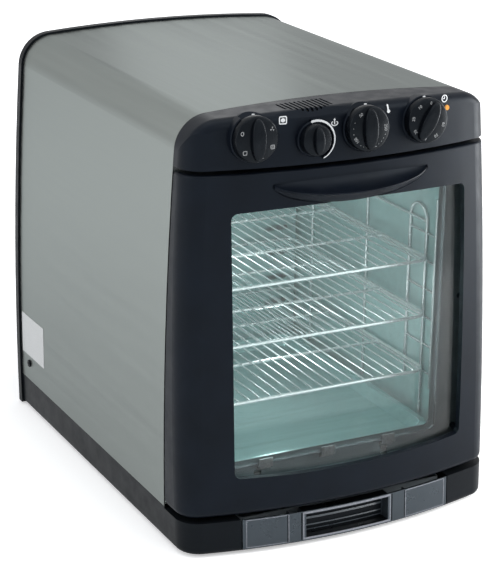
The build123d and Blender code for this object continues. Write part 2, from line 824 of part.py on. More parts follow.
def cable_gland():
    """Hexagonal cable gland in the connection recess."""
    floor = recess_floor
    gland = rod((gland_x, floor - 9, gland_z), (gland_x, floor + 6, gland_z), gland_thread)
    gland += along_y(Pos(gland_x, gland_z) * RegularPolygon(12.0, 6), floor + 0.3, floor + 6)
    dome = along_y(Pos(gland_x, gland_z) * Circle(10.0), floor + 6, floor + 16)
    gland += fillet(dome.edges().sort_by(Axis.Y)[-1], 4.0)
    gland += along_y(Pos(gland_x, gland_z) * RegularPolygon(11.0, 6), floor - 6.5, floor - 2.3)
    return gland - rod((gland_x, floor - 10, gland_z), (gland_x, floor + 17, gland_z), 4.0)


def bonding_place():
    """Centre of the bonding stud on the outside of the left wall."""
    return -side_half_width(bond_height), wrap_front + bond_setback, bond_height


def bonding_terminal():
    """Earth bonding stud with nut and washer, low on the left side at the back."""
    side, y, z = bonding_place()
    stud = rod((side - 2.8, y, z), (side + 8, y, z), bond_radius)
    stud += along_x(Pos(y, z) * RegularPolygon(2 * bond_radius, 6), side - 2.2, side - thread_gap)
    stud += along_x(Pos(y, z) * Circle(6.0), side + wrap_wall + thread_gap, side + wrap_wall + 2)
    return stud


def fascia_vent_cuts():
    """Shallow crescent bevel on the fascia's top roll and a row of slots through it."""
    crown_drop = crown_radius - math.sqrt(crown_radius ** 2 - vent_x ** 2)
    corner = Pos(vent_x, front_surface_y(vent_x, wrap_top), wrap_top - crown_drop)
    turn_in = math.degrees(math.asin(vent_x / front_bow_radius))
    turn_up = math.degrees(math.asin(vent_x / crown_radius))
    half_turn = 45 - front_lean / 2
    across = corner * Rot(0, 0, turn_in) * Rot(0, turn_up, 0) * Rot(half_turn, 0, 0)
    bulge = (1 / front_bow_radius + 1 / crown_radius) / math.sqrt(2)
    roll_gap = (1 / math.cos(math.radians(half_turn)) - 1) * top_roll_radius
    depth = roll_gap + bulge * vent_bevel_half_width ** 2 / 2
    size = 4 * top_roll_radius
    cuts = across * Pos(0, 0, size / 2 - depth) * Box(4 * vent_bevel_half_width, size, size)
    half = (vent_slot_count - 1) / 2
    for step in range(vent_slot_count):
        share = (step - half) / (half + 1)
        x = vent_x + (step - half) * vent_slot_pitch
        near = front_surface_y(x, wrap_top - top_roll_radius / 2)
        near += vent_slot_setback + vent_slot_sweep * share ** 2
        length = wrap_front - 14 - near
        cuts += along_z(Pos(x, near + length / 2) * SlotOverall(length, vent_slot_width, rotation=90),
                        wrap_top - 12, wrap_top + 5)
    return cuts


def control_fascia():
    """Hollow moulding over the door: rolled top edge, knob seats and vent slots."""
    back = wrap_front - fascia_to_wrap_gap
    outer = crowned_front(0, fascia_bottom, back) & upright_front(0, fascia_bottom, wrap_top + 5, back)
    inner = (crowned_front(moulding_wall, fascia_bottom + moulding_wall, back + 5)
             & upright_front(moulding_wall, fascia_bottom, wrap_top + 5, back + 10))
    shell = outer - inner
    for x in (-bracket_boss_x, bracket_boss_x):
        for height in bracket_boss_heights:
            shell += on_controls(x, height, touch_gap) * extrude(Circle(boss_radius), amount=60) & outer
    for x, height, radius, turn in dials.values():
        floor = seat_level(x, height) - knob_seat_sink
        ring_top = knob_seat_sink + knob_ring_rise
        seat_radius = radius + knob_seat_gap_side
        cup = on_controls(x, height, floor - knob_cup_depth)
        cup *= extrude(Circle(seat_radius + knob_ring_wall), amount=knob_cup_depth + ring_top)
        cup = chamfer(cup.edges().sort_by(Axis.Y)[0], 1.0)
        shell += cup - block(-far, far, -far, far, fascia_bottom - 50, fascia_bottom)
        shell -= on_controls(x, height, floor) * extrude(Circle(seat_radius), amount=30)
        shell -= on_controls(x, height, floor - knob_cup_depth) * extrude(
            Circle(radius - moulding_wall), amount=knob_cup_depth - moulding_wall)
        shell -= on_controls(x, height, floor - 20) * extrude(Circle(shaft_radius + 1.0), amount=30)
    shell -= on_controls(signal_x, signal_height, -20) * extrude(Circle(signal_radius + 0.1), amount=80)
    return shell - fascia_vent_cuts()


def control_bracket():
    """Steel plate behind the fascia that carries the switches."""
    plate = RectangleRounded(2 * bracket_half_width, bracket_height, 6)
    for x, height, radius, turn in dials.values():
        plate -= Pos(x, height - fascia_height / 2) * Circle(bush_radius + hole_gap)
    plate -= Pos(signal_x, signal_height - fascia_height / 2) * Circle(signal_radius + 4 * hole_gap)
    sheet = control_plane * extrude(plate, amount=-bracket_wall)
    for side in (-1, 1):
        x = side * (bracket_half_width - bracket_wall / 2)
        rib = Pos(x, 0, -bracket_rib / 2) * Box(bracket_wall, bracket_height - 12, bracket_rib)
        sheet += control_plane.location * rib
    return sheet


def control_body(name):
    """Body of one control behind the bracket, with its threaded bush and nut."""
    x, height, knob_size, turn = dials[name]
    radius, length, square = controls[name]
    bush = on_controls(x, height, -bracket_wall - 1) * extrude(Circle(bush_radius), amount=bracket_wall + 7)
    nut = on_controls(x, height, touch_gap) * extrude(RegularPolygon(bush_radius + 3, 6), amount=3.0)
    outline = RectangleRounded(2 * radius, 2 * radius, 4) if square else Circle(radius)
    case = on_controls(x, height, -bracket_wall - touch_gap) * extrude(outline, amount=-length)
    tags = extrude(Rectangle(radius, 1.2 * radius), amount=-5)
    back = on_controls(x, height, -bracket_wall - length) * tags
    bore = on_controls(x, height, shaft_foot(name) - seat_gap)
    bore *= extrude(Circle(shaft_radius + shaft_gap), amount=length + 20)
    return bush + nut + case + back - bore


def shaft_foot(name):
    """Level of a control shaft's inner end behind the bracket."""
    return -bracket_wall - controls[name][1] + 4.3


def thermostat_probe():
    """Sensing bulb in the cavity with its capillary through the back wall."""
    x, z, radius = back_wall_holes()[6]
    bulb = rod((x, cavity_back - 60, z), (x, cavity_back + 10, z), radius)
    return bulb + rod((x, cavity_back + 9, z), (x, cavity_back + 30, z), 1.0)


def indicator_lamp():
    """Amber lens in the fascia with its lamp body behind."""
    level = seat_level(signal_x, signal_height)
    stem = on_controls(signal_x, signal_height, -8) * extrude(Circle(signal_radius), amount=level + 8)
    dome = on_controls(signal_x, signal_height, level) * Sphere(signal_radius)
    cap = extrude(Circle(2 * signal_radius), amount=signal_radius * 0.6)
    return stem + (dome & on_controls(signal_x, signal_height, level) * cap)


def drawer_runners():
    """Two low rails on the base floor that carry the drawer."""
    z = base_clearance + base_floor
    rails = []
    for side in (-1, 1):
        x = side * (drawer_half_width - 12)
        rail = block(x - 5, x + 5, wrap_front - 30, wrap_front + drawer_reach, z, z + runner_height)
        rails.append(rail)
    return Compound(rails)


def arm_outline():
    """Side view of a hinge arm: eye on the pin, cranked down to its foot."""
    back = cavity_front - seat_gap
    eye = Pos(hinge_y, hinge_z) * Circle(eye_radius)
    bar = make_face(Polyline((hinge_y, hinge_z + eye_radius), (wrap_front - 14, arm_foot_high),
                             (back, arm_foot_high), (back, arm_foot_low),
                             (wrap_front - 16, arm_foot_low), (hinge_y, hinge_z - eye_radius), close=True))
    return eye + bar - Pos(hinge_y, hinge_z) * Circle(pin_radius)


def hinge_arms():
    """Pair of cranked arms, riveted to the front frame, that carry the pins."""
    arms = []
    for side in (-1, 1):
        x = side * hinge_spacing
        arm = along_x(arm_outline(), x - arm_width / 2, x + arm_width / 2)
        foot = block(x - 16, x + 16, cavity_front - 1.8, cavity_front - touch_gap,
                     arm_foot_low, arm_foot_high)
        arms.append(arm + foot)
    return Compound(arms)


def hinge_pins():
    """Pins through the arms' eyes, one each side."""
    reach = arm_width / 2 + arm_side_gap + ear_thickness
    pins = []
    for side in (-1, 1):
        x = side * hinge_spacing
        pins.append(rod((x - reach, hinge_y, hinge_z), (x + reach, hinge_y, hinge_z), pin_radius))
    return Compound(pins)


def door_hinge_brackets():
    """Two U brackets in the door whose bored ears turn on the pins."""
    brackets = []
    skin = moulding_wall + seat_gap
    inside = upright_front(skin, door_bottom + skin, door_top, door_back)
    for side in (-1, 1):
        x = side * hinge_spacing
        inner = arm_width / 2 + arm_side_gap
        outer = inner + ear_thickness
        ear = Pos(hinge_y, hinge_z) * Circle(eye_radius + 0.5)
        top = hinge_z + ear_height
        ear += make_face(Polyline((hinge_y - ear_front, hinge_z + 1), (hinge_y + eye_radius + 0.5, hinge_z),
                                  (hinge_y + ear_back, top), (hinge_y - ear_front, top), close=True))
        ear -= Pos(hinge_y, hinge_z) * Circle(pin_radius + pin_running_gap)
        pair = along_x(ear, x - outer, x - inner) + along_x(ear, x + inner, x + outer)
        pair += block(x - outer, x + outer, hinge_y - ear_front, hinge_y + ear_back, top - ear_thickness, top)
        brackets.append(pair & inside)
    return Compound(brackets)


def window_outline(grow, bow):
    """Front view of the window: gently bowed edges and round corners."""
    left = window_left - grow
    right = window_right + grow
    low = window_bottom - grow
    high = window_top + grow
    middle_x = (left + right) / 2
    middle_z = (low + high) / 2
    loop = (ThreePointArc((left, low), (middle_x, low - bow), (right, low))
            + ThreePointArc((right, low), (right + bow * 0.6, middle_z), (right, high))
            + ThreePointArc((right, high), (middle_x, high + bow), (left, high))
            + Line((left, high), (left, low)))
    face = make_face(loop)
    return fillet(face.vertices(), window_corner_radius + grow)


def hinge_slots():
    """Ways through the door's lower back edge for the hinge arms."""
    cuts = Part()
    for side in (-1, 1):
        x = side * hinge_spacing
        half = arm_width / 2 + arm_side_gap - 0.2
        cuts += block(x - half, x + half, hinge_y - eye_radius - 2 * arm_side_gap, wrap_front,
                      0, hinge_z + eye_radius + arm_side_gap)
    return cuts


def swing_relief():
    """Step along the door's lower back edge that lets it swing past the seal."""
    return block(-far, far, door_back - swing_setback, wrap_front, 0, swing_low)


def door_outer_frame():
    """Hollow moulded door front with a reveal round the window."""
    outer = upright_front(0, door_bottom, door_top, door_back)
    top_rim = outer.faces().sort_by(Axis.Z)[-1].edges().filter_by(lambda e: e.center().Y < door_back - 1)
    outer = fillet(top_rim, door_top_radius)
    low_rim = outer.faces().sort_by(Axis.Z)[0].edges().filter_by(lambda e: e.center().Y < door_back - 1)
    outer = fillet(low_rim, door_bottom_radius)
    inner = upright_front(moulding_wall, door_bottom + moulding_wall, door_top - moulding_wall, door_back + 5)
    shell = outer - inner
    bevel = door_back_chamfer
    back_edge = make_face(Polyline((door_back - bevel, door_top + 1), (door_back + 1, door_top + 1),
                                   (door_back + 1, door_top - bevel - 1), close=True))
    reveal_zone = outer & (bowed_front(0) - bowed_front(reveal_depth))
    reveal = reveal_zone & along_y(window_outline(reveal_wall, window_edge_bow), -far, door_back)
    shell += reveal
    shell -= along_y(window_outline(0, window_edge_bow), -far, door_back + 5)
    shell -= along_x(back_edge, -far, far)
    for x, z in door_screw_places():
        boss_end = door_back - liner_wall - touch_gap
        shell += along_y(Pos(x, z) * Circle(boss_radius), -far, boss_end) & outer
        shell -= along_y(Pos(x, z) * Circle(screw_radius + screw_gap),
                         boss_end - door_screw_length, boss_end + 1)
    return shell - handle_recess() - hinge_slots() - swing_relief()


def door_outer_glass():
    """Bowed pane behind the reveal, following the front."""
    skin = bowed_front(reveal_depth + seat_gap) - bowed_front(reveal_depth + seat_gap + glass_thickness)
    pane = along_y(window_outline(glass_overlap, window_edge_bow), -far, door_back - 12)
    return skin & pane


def inner_window(grow):
    """Front view of the flat inner pane."""
    left = window_left + inner_window_inset - grow
    right = window_right - inner_window_inset - 4 + grow
    low = window_bottom - 8 - grow
    high = window_top + 4 + grow
    return Pos((left + right) / 2, (low + high) / 2) * RectangleRounded(right - left, high - low, 8)


def door_liner():
    """Pressed steel back of the door with the inner window and turned-in edges."""
    edge = moulding_wall + seat_gap
    high = door_top - edge - door_back_chamfer
    shell = along_y(side_outline(edge, swing_low, high), door_back - liner_rim, door_back)
    shell -= along_y(side_outline(edge + liner_wall, swing_low + liner_wall, high - liner_wall),
                     door_back - liner_rim - 1, door_back - liner_wall)
    shell -= along_y(inner_window(0), door_back - 20, door_back + 1)
    for x, z in door_screw_places():
        shell -= along_y(Pos(x, z) * Circle(screw_radius + screw_gap), door_back - 5, door_back + 1)
    return shell - hinge_slots()


def door_inner_glass():
    """Flat inner pane against the liner."""
    back = door_back - liner_wall - seat_gap
    return along_y(inner_window(glass_overlap), back - glass_thickness, back)


def clip_places():
    x_middle = (window_left + window_right) / 2
    return [(x_middle + step * 85, z, turn) for step in (-1, 0, 1)
            for z, turn in ((window_bottom - 18, 0), (window_top + 14, 180))]


def glass_clips():
    """Six bent clips that hold the inner pane on the liner."""
    back = door_back - liner_wall - seat_gap
    clips = []
    hook = back - glass_thickness - seat_gap
    profile = make_face(Polyline((back, -6), (back, -1), (hook, -1), (hook, 9), (hook - clip_wall, 9),
                                 (hook - clip_wall, -1 - clip_wall), (back - clip_wall, -1 - clip_wall),
                                 (back - clip_wall, -6), close=True))
    for x, z, turn in clip_places():
        clip = along_x(profile, -9, 9)
        if turn:
            clip = mirror(clip, about=Plane.XY)
        clips.append(Pos(x, 0, z) * clip)
    return Compound(clips)


def handle_stations():
    """Turn angles of the stations across the handle, closer together at its tips."""
    return [math.radians(angle) for angle in range(-80, 81, 20)]


def handle_recess():
    """Shallow crescent in the door face that the handle moulding sits in."""
    spread = [(handle_half_width * math.sin(turn), math.cos(turn)) for turn in handle_stations()]
    high = [(x, handle_tip + handle_scoop_rise * swell) for x, swell in spread]
    low = [(x, handle_tip - handle_low_fall * swell) for x, swell in spread]
    middle = (high[0][1] + low[0][1]) / 2
    right_tip = ThreePointArc(high[-1], (handle_half_width, middle), low[-1])
    left_tip = ThreePointArc(low[0], (-handle_half_width, middle), high[0])
    crescent = make_face(Spline(*high) + right_tip + Spline(*reversed(low)) + left_tip)
    return along_y(crescent, -far, 0) & (bowed_front(-5) - bowed_front(handle_sink))


def handle_sections():
    """Side views of the handle: hollow scoop on top, thin lip, swelling underside."""
    faces = []
    for turn in handle_stations():
        swell = math.cos(turn)
        x = (handle_half_width - 3 * handle_fit) * math.sin(turn)
        reach = handle_reach * swell ** 1.3
        top = handle_tip + handle_scoop_rise * swell - handle_fit
        lip = handle_tip - handle_lip_fall * swell
        low = handle_tip - handle_low_fall * swell + handle_fit
        surface = front_surface_y(x, lip)
        back = surface + 2 * handle_sink
        upper = Spline((back, top), (surface + 0.4 - reach * 0.12, top - 0.55 * (top - lip)),
                       (surface - reach, lip + 0.6))
        edge = Line((surface - reach, lip + 0.6), (surface - reach, lip - 0.6))
        under = Spline((surface - reach, lip - 0.6), (surface - reach * 0.62, lip - 2.6 * swell - 0.7),
                       (surface - reach * 0.42, lip - 7.5 * swell - 0.8), (back, low))
        outline = upper + edge + under + Line((back, low), (back, top))
        faces.append(Plane(origin=(x, 0, 0), x_dir=(0, 1, 0), z_dir=(1, 0, 0)) * make_face(outline))
    return faces


def door_handle():
    """Crescent lip that swells out of the door face, seated in its recess."""
    return loft(handle_sections()) - bowed_front(handle_sink - touch_gap)


def door_screw_places():
    """Across and up, six screws round the back of the door."""
    side = half_width - door_screw_inset
    heights = (door_bottom + 30, (door_bottom + door_top) / 2, door_top - 30)
    return [(x, z) for x in (-side, side) for z in heights]


def door_screws():
    """Screws that hold the liner to the moulded frame."""
    group = []
    for x, z in door_screw_places():
        place = Location((x, door_back + touch_gap, z), (-90, 0, 0))
        group.append(place * pan_head_screw(door_screw_length))
    return Compound(group)


def knob(name):
    """Round skirt with a bevelled rim and a waisted finger bar across the dome."""
    x, height, radius, turn = dials[name]
    level = seat_level(x, height) - knob_seat_sink + knob_seat_gap
    skirt = extrude(Circle(radius), amount=knob_skirt)
    skirt = chamfer(skirt.edges().sort_by(Axis.Z)[-1], 2.0, 3.0)
    scale = radius / knob_radius
    grip_top = knob_skirt + knob_grip
    rim = radius * 0.9
    crown = ThreePointArc((0, grip_top), (radius * 0.55, grip_top - 1.6), (rim, knob_skirt))
    edges = Line((0, 0), (0, grip_top)) + crown + Line((rim, knob_skirt), (rim, 0)) + Line((rim, 0), (0, 0))
    profile = make_face(edges)
    dome = revolve(Plane.XZ * profile, axis=Axis.Z)
    half = knob_grip_width * scale / 2
    scoop = radius * 1.9
    for side in (-1, 1):
        dome -= Pos(side * (half + scoop), 0, knob_skirt + 20) * Cylinder(scoop, 40)
    body = skirt + (dome & block(-radius, radius, -radius, radius, 2, 60))
    body -= extrude(Circle(radius - 3.5), amount=knob_skirt - 4)
    body += extrude(Circle(shaft_radius + 3), amount=knob_skirt)
    body -= extrude(Circle(shaft_radius + shaft_gap), amount=knob_skirt + 4)
    return on_controls(x, height, level) * Rot(0, 0, turn) * body


def control_shaft(name):
    """Shaft from inside the knob through the bracket into its control."""
    x, height, radius, turn = dials[name]
    top = seat_level(x, height) - knob_seat_sink + knob_seat_gap + knob_skirt + 4
    bottom = shaft_foot(name)
    return on_controls(x, height, bottom) * extrude(Circle(shaft_radius), amount=top - bottom - touch_gap)


def drawer_zone(inset, low, high):
    """Front band of the drawer between its ends, following the bowed front."""
    ends = block(-drawer_half_width + inset, drawer_half_width - inset, -far, wrap_front - 20, low, high)
    return (bowed_front(inset) & ends)


def drawer_front():
    """Clear curved front with a framed finger recess and upright ribs."""
    low = base_clearance + base_floor + 0.4
    high = base_front_top - 0.2
    skin = drawer_zone(0, low, high) - bowed_front(drawer_wall)
    pocket_low = low + pull_border * 0.6
    pocket_high = high - pull_border * 0.6
    depth = bowed_front(0) - bowed_front(pull_depth)
    outer_box = block(pull_left - drawer_wall, pull_right + drawer_wall, -far, 0,
                      pocket_low - drawer_wall, pocket_high + drawer_wall)
    cup = depth & outer_box
    scoop = block(pull_left, pull_right, -far, 0, pocket_low, pocket_high)
    skin = skin + (cup & block(-far, far, -far, far, low, high))
    skin -= (bowed_front(-10) - bowed_front(pull_depth - drawer_wall)) & scoop
    ribs = Part()
    for x in (pull_left - 21, pull_right + 25):
        rib = block(x - 0.8, x + 0.8, -far, 0, low, high)
        ribs += (bowed_front(drawer_wall - 0.1) - bowed_front(drawer_wall + 5)) & rib
    return skin + ribs


def drawer_tray():
    """Open tray behind the clear front."""
    low = base_clearance + base_floor + runner_height + 0.3
    high = base_front_top - 4
    half = drawer_half_width - 2.5
    front = wrap_front - front_reach + pull_depth + 9
    back = wrap_front + drawer_reach
    outer = block(-half, half, front, back, low, high)
    outer = fillet(outer.edges().filter_by(Axis.Z), 6.0)
    inner = block(-half + drawer_wall, half - drawer_wall, front + drawer_wall, back - drawer_wall,
                  low + drawer_wall, high + 5)
    inner = fillet(inner.edges().filter_by(Axis.Z), 4.0)
    tray = outer - inner
    for side in (-1, 1):
        x = side * (half - 16)
        bar = block(x - 8, x + 8, front - 12, front + 1, low + 4, high - 6)
        tray += bar & bowed_front(drawer_wall + seat_gap)
    return tray


pieces = {
    "base_housing": base_housing, "feet": feet, "chassis_floor": chassis_floor, "steel_wrap": steel_wrap,
    "rear_cover": rear_cover, "rear_cover_screws": rear_cover_screws, "front_frame": front_frame,
    "door_seal": door_seal, "oven_cavity": oven_cavity, "cavity_insulation": cavity_insulation,
    "fan_baffle": fan_baffle, "ring_heater": ring_heater, "grill_element": grill_element,
    "rack_support_left": lambda: ladder(-1), "rack_support_right": lambda: ladder(1),
    "fan_motor": fan_motor, "motor_bracket": motor_bracket, "lamp_cover": lamp_cover,
    "lamp_holder": lamp_holder, "steam_pipe": steam_pipe, "water_valve": water_valve,
    "cavity_vent": cavity_vent, "terminal_block": terminal_block, "cable_gland": cable_gland,
    "bonding_terminal": bonding_terminal, "control_fascia": control_fascia,
    "control_bracket": control_bracket,
    "mode_switch": lambda: control_body("mode"),
    "humidity_regulator": lambda: control_body("humidity"),
    "thermostat": lambda: control_body("temperature"),
    "timer_mechanism": lambda: control_body("timer"),
    "thermostat_probe": thermostat_probe, "indicator_lamp": indicator_lamp,
    "drawer_runners": drawer_runners, "hinge_arms": hinge_arms, "hinge_pins": hinge_pins,
    "fan_wheel": fan_wheel, "fan_shaft": fan_shaft,
    "door_outer_frame": door_outer_frame, "door_outer_glass": door_outer_glass,
    "door_inner_glass": door_inner_glass, "door_liner": door_liner, "door_handle": door_handle,
    "glass_clips": glass_clips, "door_hinge_brackets": door_hinge_brackets, "door_screws": door_screws,
    "mode_knob": lambda: knob("mode"), "humidity_knob": lambda: knob("humidity"),
    "temperature_knob": lambda: knob("temperature"), "timer_knob": lambda: knob("timer"),
    "mode_shaft": lambda: control_shaft("mode"),
    "humidity_shaft": lambda: control_shaft("humidity"),
    "temperature_shaft": lambda: control_shaft("temperature"),
    "timer_shaft": lambda: control_shaft("timer"),
    "drawer_front": drawer_front, "drawer_tray": drawer_tray,
    "lower_rack": lambda: wire_rack(rack_levels[0]), "middle_rack": lambda: wire_rack(rack_levels[1]),
    "upper_rack": lambda: wire_rack(rack_levels[2]), "drip_pan": drip_pan,
}


def main():
    os.makedirs("parts", exist_ok=True)
    for name, make in pieces.items():
        export_step(make(), f"parts/{name}.step")


if __name__ == "__main__":
    main()
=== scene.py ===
"""Looks of a countertop combi oven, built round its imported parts.

Metres, +Z up, X to the right seen from the front, Y towards the back. The parts of the frame keep their
shapes and get materials here. Prints, plates, wires and small trim are made here as worked-out surfaces.
"""
import json
import math
import bpy
import numpy as np
from bpy.props import FloatProperty, FloatVectorProperty, IntProperty, PointerProperty
from mathutils import Matrix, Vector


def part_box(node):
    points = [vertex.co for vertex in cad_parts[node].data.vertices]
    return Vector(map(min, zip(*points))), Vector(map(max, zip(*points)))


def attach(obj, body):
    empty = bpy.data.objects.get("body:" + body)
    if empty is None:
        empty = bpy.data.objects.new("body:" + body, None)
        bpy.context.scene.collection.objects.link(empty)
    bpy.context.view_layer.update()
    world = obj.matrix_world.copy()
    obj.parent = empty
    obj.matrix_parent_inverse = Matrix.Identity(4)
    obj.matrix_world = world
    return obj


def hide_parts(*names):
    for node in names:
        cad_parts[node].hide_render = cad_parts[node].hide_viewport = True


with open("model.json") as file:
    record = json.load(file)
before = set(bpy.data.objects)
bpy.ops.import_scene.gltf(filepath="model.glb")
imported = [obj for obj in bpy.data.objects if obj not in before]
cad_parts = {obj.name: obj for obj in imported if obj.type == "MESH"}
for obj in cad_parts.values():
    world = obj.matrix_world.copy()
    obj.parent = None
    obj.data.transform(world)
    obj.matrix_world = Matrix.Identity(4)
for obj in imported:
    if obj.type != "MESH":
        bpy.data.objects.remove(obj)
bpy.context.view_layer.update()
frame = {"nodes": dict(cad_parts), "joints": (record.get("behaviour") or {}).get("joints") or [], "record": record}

bl_info = {
    "name": "Combi Oven Looks",
    "version": (1, 0, 0),
    "blender": (4, 5, 0),
    "location": "3D View > Sidebar > Combi Oven",
    "description": "Materials, prints and small trim of a countertop combi oven",
    "category": "Object",
}

MM = 0.001
NODES = frame["nodes"]
JOINTS = {joint["name"]: joint for joint in frame["joints"]}
FINISHES = {}  # Materials by slot name, filled by the finishes operator

# Bowed and leaning front, and bowed sides, set on the frame's own boxes
FRONT_BOW = 742 * MM
FRONT_LEAN = math.radians(3.06)
FRONT_REACH = 82 * MM
WRAP_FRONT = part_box("steel_wrap")[0].y
DOOR_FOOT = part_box("door_outer_frame")[0].z
SIDE_BOW = 5154 * MM
SIDE_WIDEST = 112 * MM
HALF_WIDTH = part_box("steel_wrap")[1].x

# Dials: heights over the fascia, radii of the skirt and its prints, and font size over digit height
KNOB_FACE = 14.8 * MM
SKIRT_FLAT = 23.4 * MM
SKIRT_SPREAD = 1.6 * MM
PLAIN_RADIUS = 24.4 * MM
RING_TOP = 4.0 * MM
SIGN_RING = 20.6 * MM
NUMBER_RING = 20.4 * MM
FONT_PER_DIGIT = 1.38

# Camera solved from the photograph: focal length and height in pixels, place and the three directions
PHOTO_FOCAL, PHOTO_HEIGHT, SENSOR = 1884.97, 577, 36.0
CAMERA_PLACE = (-1.05186, -2.02903, 1.01850)
CAMERA_RIGHT = (0.88933385, -0.4570471, 0.01390132)
CAMERA_UP = (0.13842838, 0.29808335, 0.94444899)
CAMERA_AHEAD = (0.43580143, 0.83800612, -0.3283639)


class OvenSizes(bpy.types.PropertyGroup):
    """Sizes of the prints and trim."""
    print_lift: FloatProperty(name="Print Lift", description="How far a print stands off its surface",
                              default=0.12 * MM, min=0.0, unit="LENGTH")
    print_height: FloatProperty(name="Print Thickness", description="Thickness of the printed ink",
                                default=0.1 * MM, min=0.01 * MM, unit="LENGTH")
    stroke: FloatProperty(name="Stroke Width", description="Width of the lines in the printed signs",
                          default=1.0 * MM, min=0.1 * MM, unit="LENGTH")
    digit_height: FloatProperty(name="Digit Height", description="Height of the numbers on the dials",
                                default=3.8 * MM, min=1 * MM, unit="LENGTH")
    label_thickness: FloatProperty(name="Label Thickness", description="Thickness of the bare side plate",
                                   default=0.3 * MM, min=0.05 * MM, unit="LENGTH")
    wire_sides: IntProperty(name="Wire Sides", description="Faces round each shelf wire",
                            default=12, min=6, max=24)


class OvenColours(bpy.types.PropertyGroup):
    """Main colours."""
    moulding: FloatVectorProperty(name="Charcoal Moulding", description="Colour of the fascia and the door",
                                  subtype="COLOR", size=3, min=0, max=1, default=(0.0032, 0.0048, 0.0085))
    base: FloatVectorProperty(name="Black Moulding", description="Colour of the base and the rear cover",
                              subtype="COLOR", size=3, min=0, max=1, default=(0.0040, 0.0050, 0.0064))
    knobs: FloatVectorProperty(name="Knobs", description="Colour of the four knobs",
                               subtype="COLOR", size=3, min=0, max=1, default=(0.0026, 0.0034, 0.0050))
    steel: FloatVectorProperty(name="Body Steel", description="Colour of the bent steel wrap",
                               subtype="COLOR", size=3, min=0, max=1, default=(0.265, 0.287, 0.276))
    glass: FloatVectorProperty(name="Door Glass", description="Tint of the two door panes",
                               subtype="COLOR", size=3, min=0, max=1, default=(0.925, 0.972, 0.970))
    ink: FloatVectorProperty(name="Ink", description="Colour of the printed signs and numbers",
                             subtype="COLOR", size=3, min=0, max=1, default=(0.84, 0.86, 0.87))


# Surfaces that prints and plates follow

def front_surface(x, z, lift):
    """Points on the moulded front: a cylinder of the front bow leaning back by the lean angle.

    Its depth is the foot depth, plus the height over the foot times the lean's tangent, plus the bow's
    sagitta at x over the lean's cosine. Lift goes along the outward normal.
    """
    x = np.asarray(x, float)
    z = np.asarray(z, float)
    reach = np.sqrt(FRONT_BOW ** 2 - x ** 2)
    y = WRAP_FRONT - FRONT_REACH + (z - DOOR_FOOT) * math.tan(FRONT_LEAN)
    y = y + (FRONT_BOW - reach) / math.cos(FRONT_LEAN)
    normal = np.stack([x / (reach * math.cos(FRONT_LEAN)), -np.ones_like(y),
                       np.full_like(y, math.tan(FRONT_LEAN))], axis=-1)
    normal /= np.linalg.norm(normal, axis=-1, keepdims=True)
    return np.stack([x, y, z], axis=-1) + normal * np.asarray(lift)[..., None]


def side_surface(side, y, z, lift):
    """Points on a bowed side: the half width less the square of the height over the widest level
    divided by twice the side bow, pushed out by lift."""
    x = HALF_WIDTH - (z - SIDE_WIDEST) ** 2 / (2 * SIDE_BOW) + lift
    return np.stack(np.broadcast_arrays(side * x, y, z), axis=-1)


def dial_face(joint_name):
    """Function that places (across, up, out) on the face of a dial, square to its joint axis."""
    joint = JOINTS[joint_name]
    seat = np.array(joint["pos_m"])
    out = -np.array(joint["axis"])
    right = np.array([1.0, 0.0, 0.0])
    up = np.cross(out, right)

    def place(across, rise, lift):
        across, rise, lift = np.broadcast_arrays(across, rise, lift)
        return seat + across[..., None] * right + rise[..., None] * up + lift[..., None] * out
    return place


# Mesh makers

def add_object(name, data):
    """New object of the scene for a mesh, lamp, text or camera."""
    item = bpy.data.objects.new(name, data)
    bpy.context.scene.collection.objects.link(item)
    return item


def add_piece(name, vertices, faces, body, slot, material, smooth=False):
    """New object from arrays, with outward faces, riding on a body and finished with the given material. The slot
    is not used.
    """
    mesh = bpy.data.meshes.new(name)
    mesh.from_pydata(np.asarray(vertices).reshape(-1, 3).tolist(), [], faces)
    mesh.validate()
    mesh.update()
    if smooth:
        mesh.polygons.foreach_set("use_smooth", np.ones(len(mesh.polygons), bool))
        mesh.set_sharp_from_angle(angle=math.radians(40))
    piece = add_object(name, mesh)
    piece.data.materials.append(material)
    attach(piece, body)
    return piece


def tube_faces(rings, sides, closed=False):
    """Quads between neighbouring rings of a tube, with flat caps on an open one."""
    ring = np.arange(rings if closed else rings - 1)[:, None]
    side = np.arange(sides)[None, :]
    after = (ring + 1) % rings
    turn = (side + 1) % sides
    faces = np.stack([ring * sides + side, ring * sides + turn, after * sides + turn,
                      after * sides + side], axis=-1).reshape(-1, 4).tolist()
    if not closed:
        faces += [list(range(sides))[::-1], list(range((rings - 1) * sides, rings * sides))]
    return faces


def path_run(points, closed):
    """Unit direction at each point of a path, taken between its neighbours."""
    if closed:
        run = np.roll(points, -1, axis=0) - np.roll(points, 1, axis=0)
    else:
        run = np.gradient(points, axis=0)
    return run / np.linalg.norm(run, axis=1, keepdims=True)


def carry(profile, path, normals, closed=False):
    """Vertices of a flat profile carried along a path.

    Each profile point (a, b) lands at the path point plus a times the side vector plus b times the
    normal, where the side vector is the path's direction crossed with the normal.
    """
    path = np.asarray(path, float)
    run = path_run(path, closed)
    side = np.cross(run, np.asarray(normals, float) * np.ones_like(path))
    side /= np.linalg.norm(side, axis=1, keepdims=True)
    lifted = np.cross(side, run)
    return path[:, None] + profile[:, :1] * side[:, None] + profile[:, 1:] * lifted[:, None]


def merge(parts):
    """One (vertices, faces) pair from several."""
    vertices, faces, start = [], [], 0
    for points, polygons in parts:
        points = np.asarray(points).reshape(-1, 3)
        vertices.append(points)
        faces += [[index + start for index in polygon] for polygon in polygons]
        start += len(points)
    return np.concatenate(vertices), faces


def circle_profile(radius, sides):
    """Points of a circle, anticlockwise: radius times cosine and sine of even turns."""
    turn = np.linspace(0, 2 * math.pi, sides, endpoint=False)
    return np.stack([radius * np.cos(turn), radius * np.sin(turn)], axis=-1)


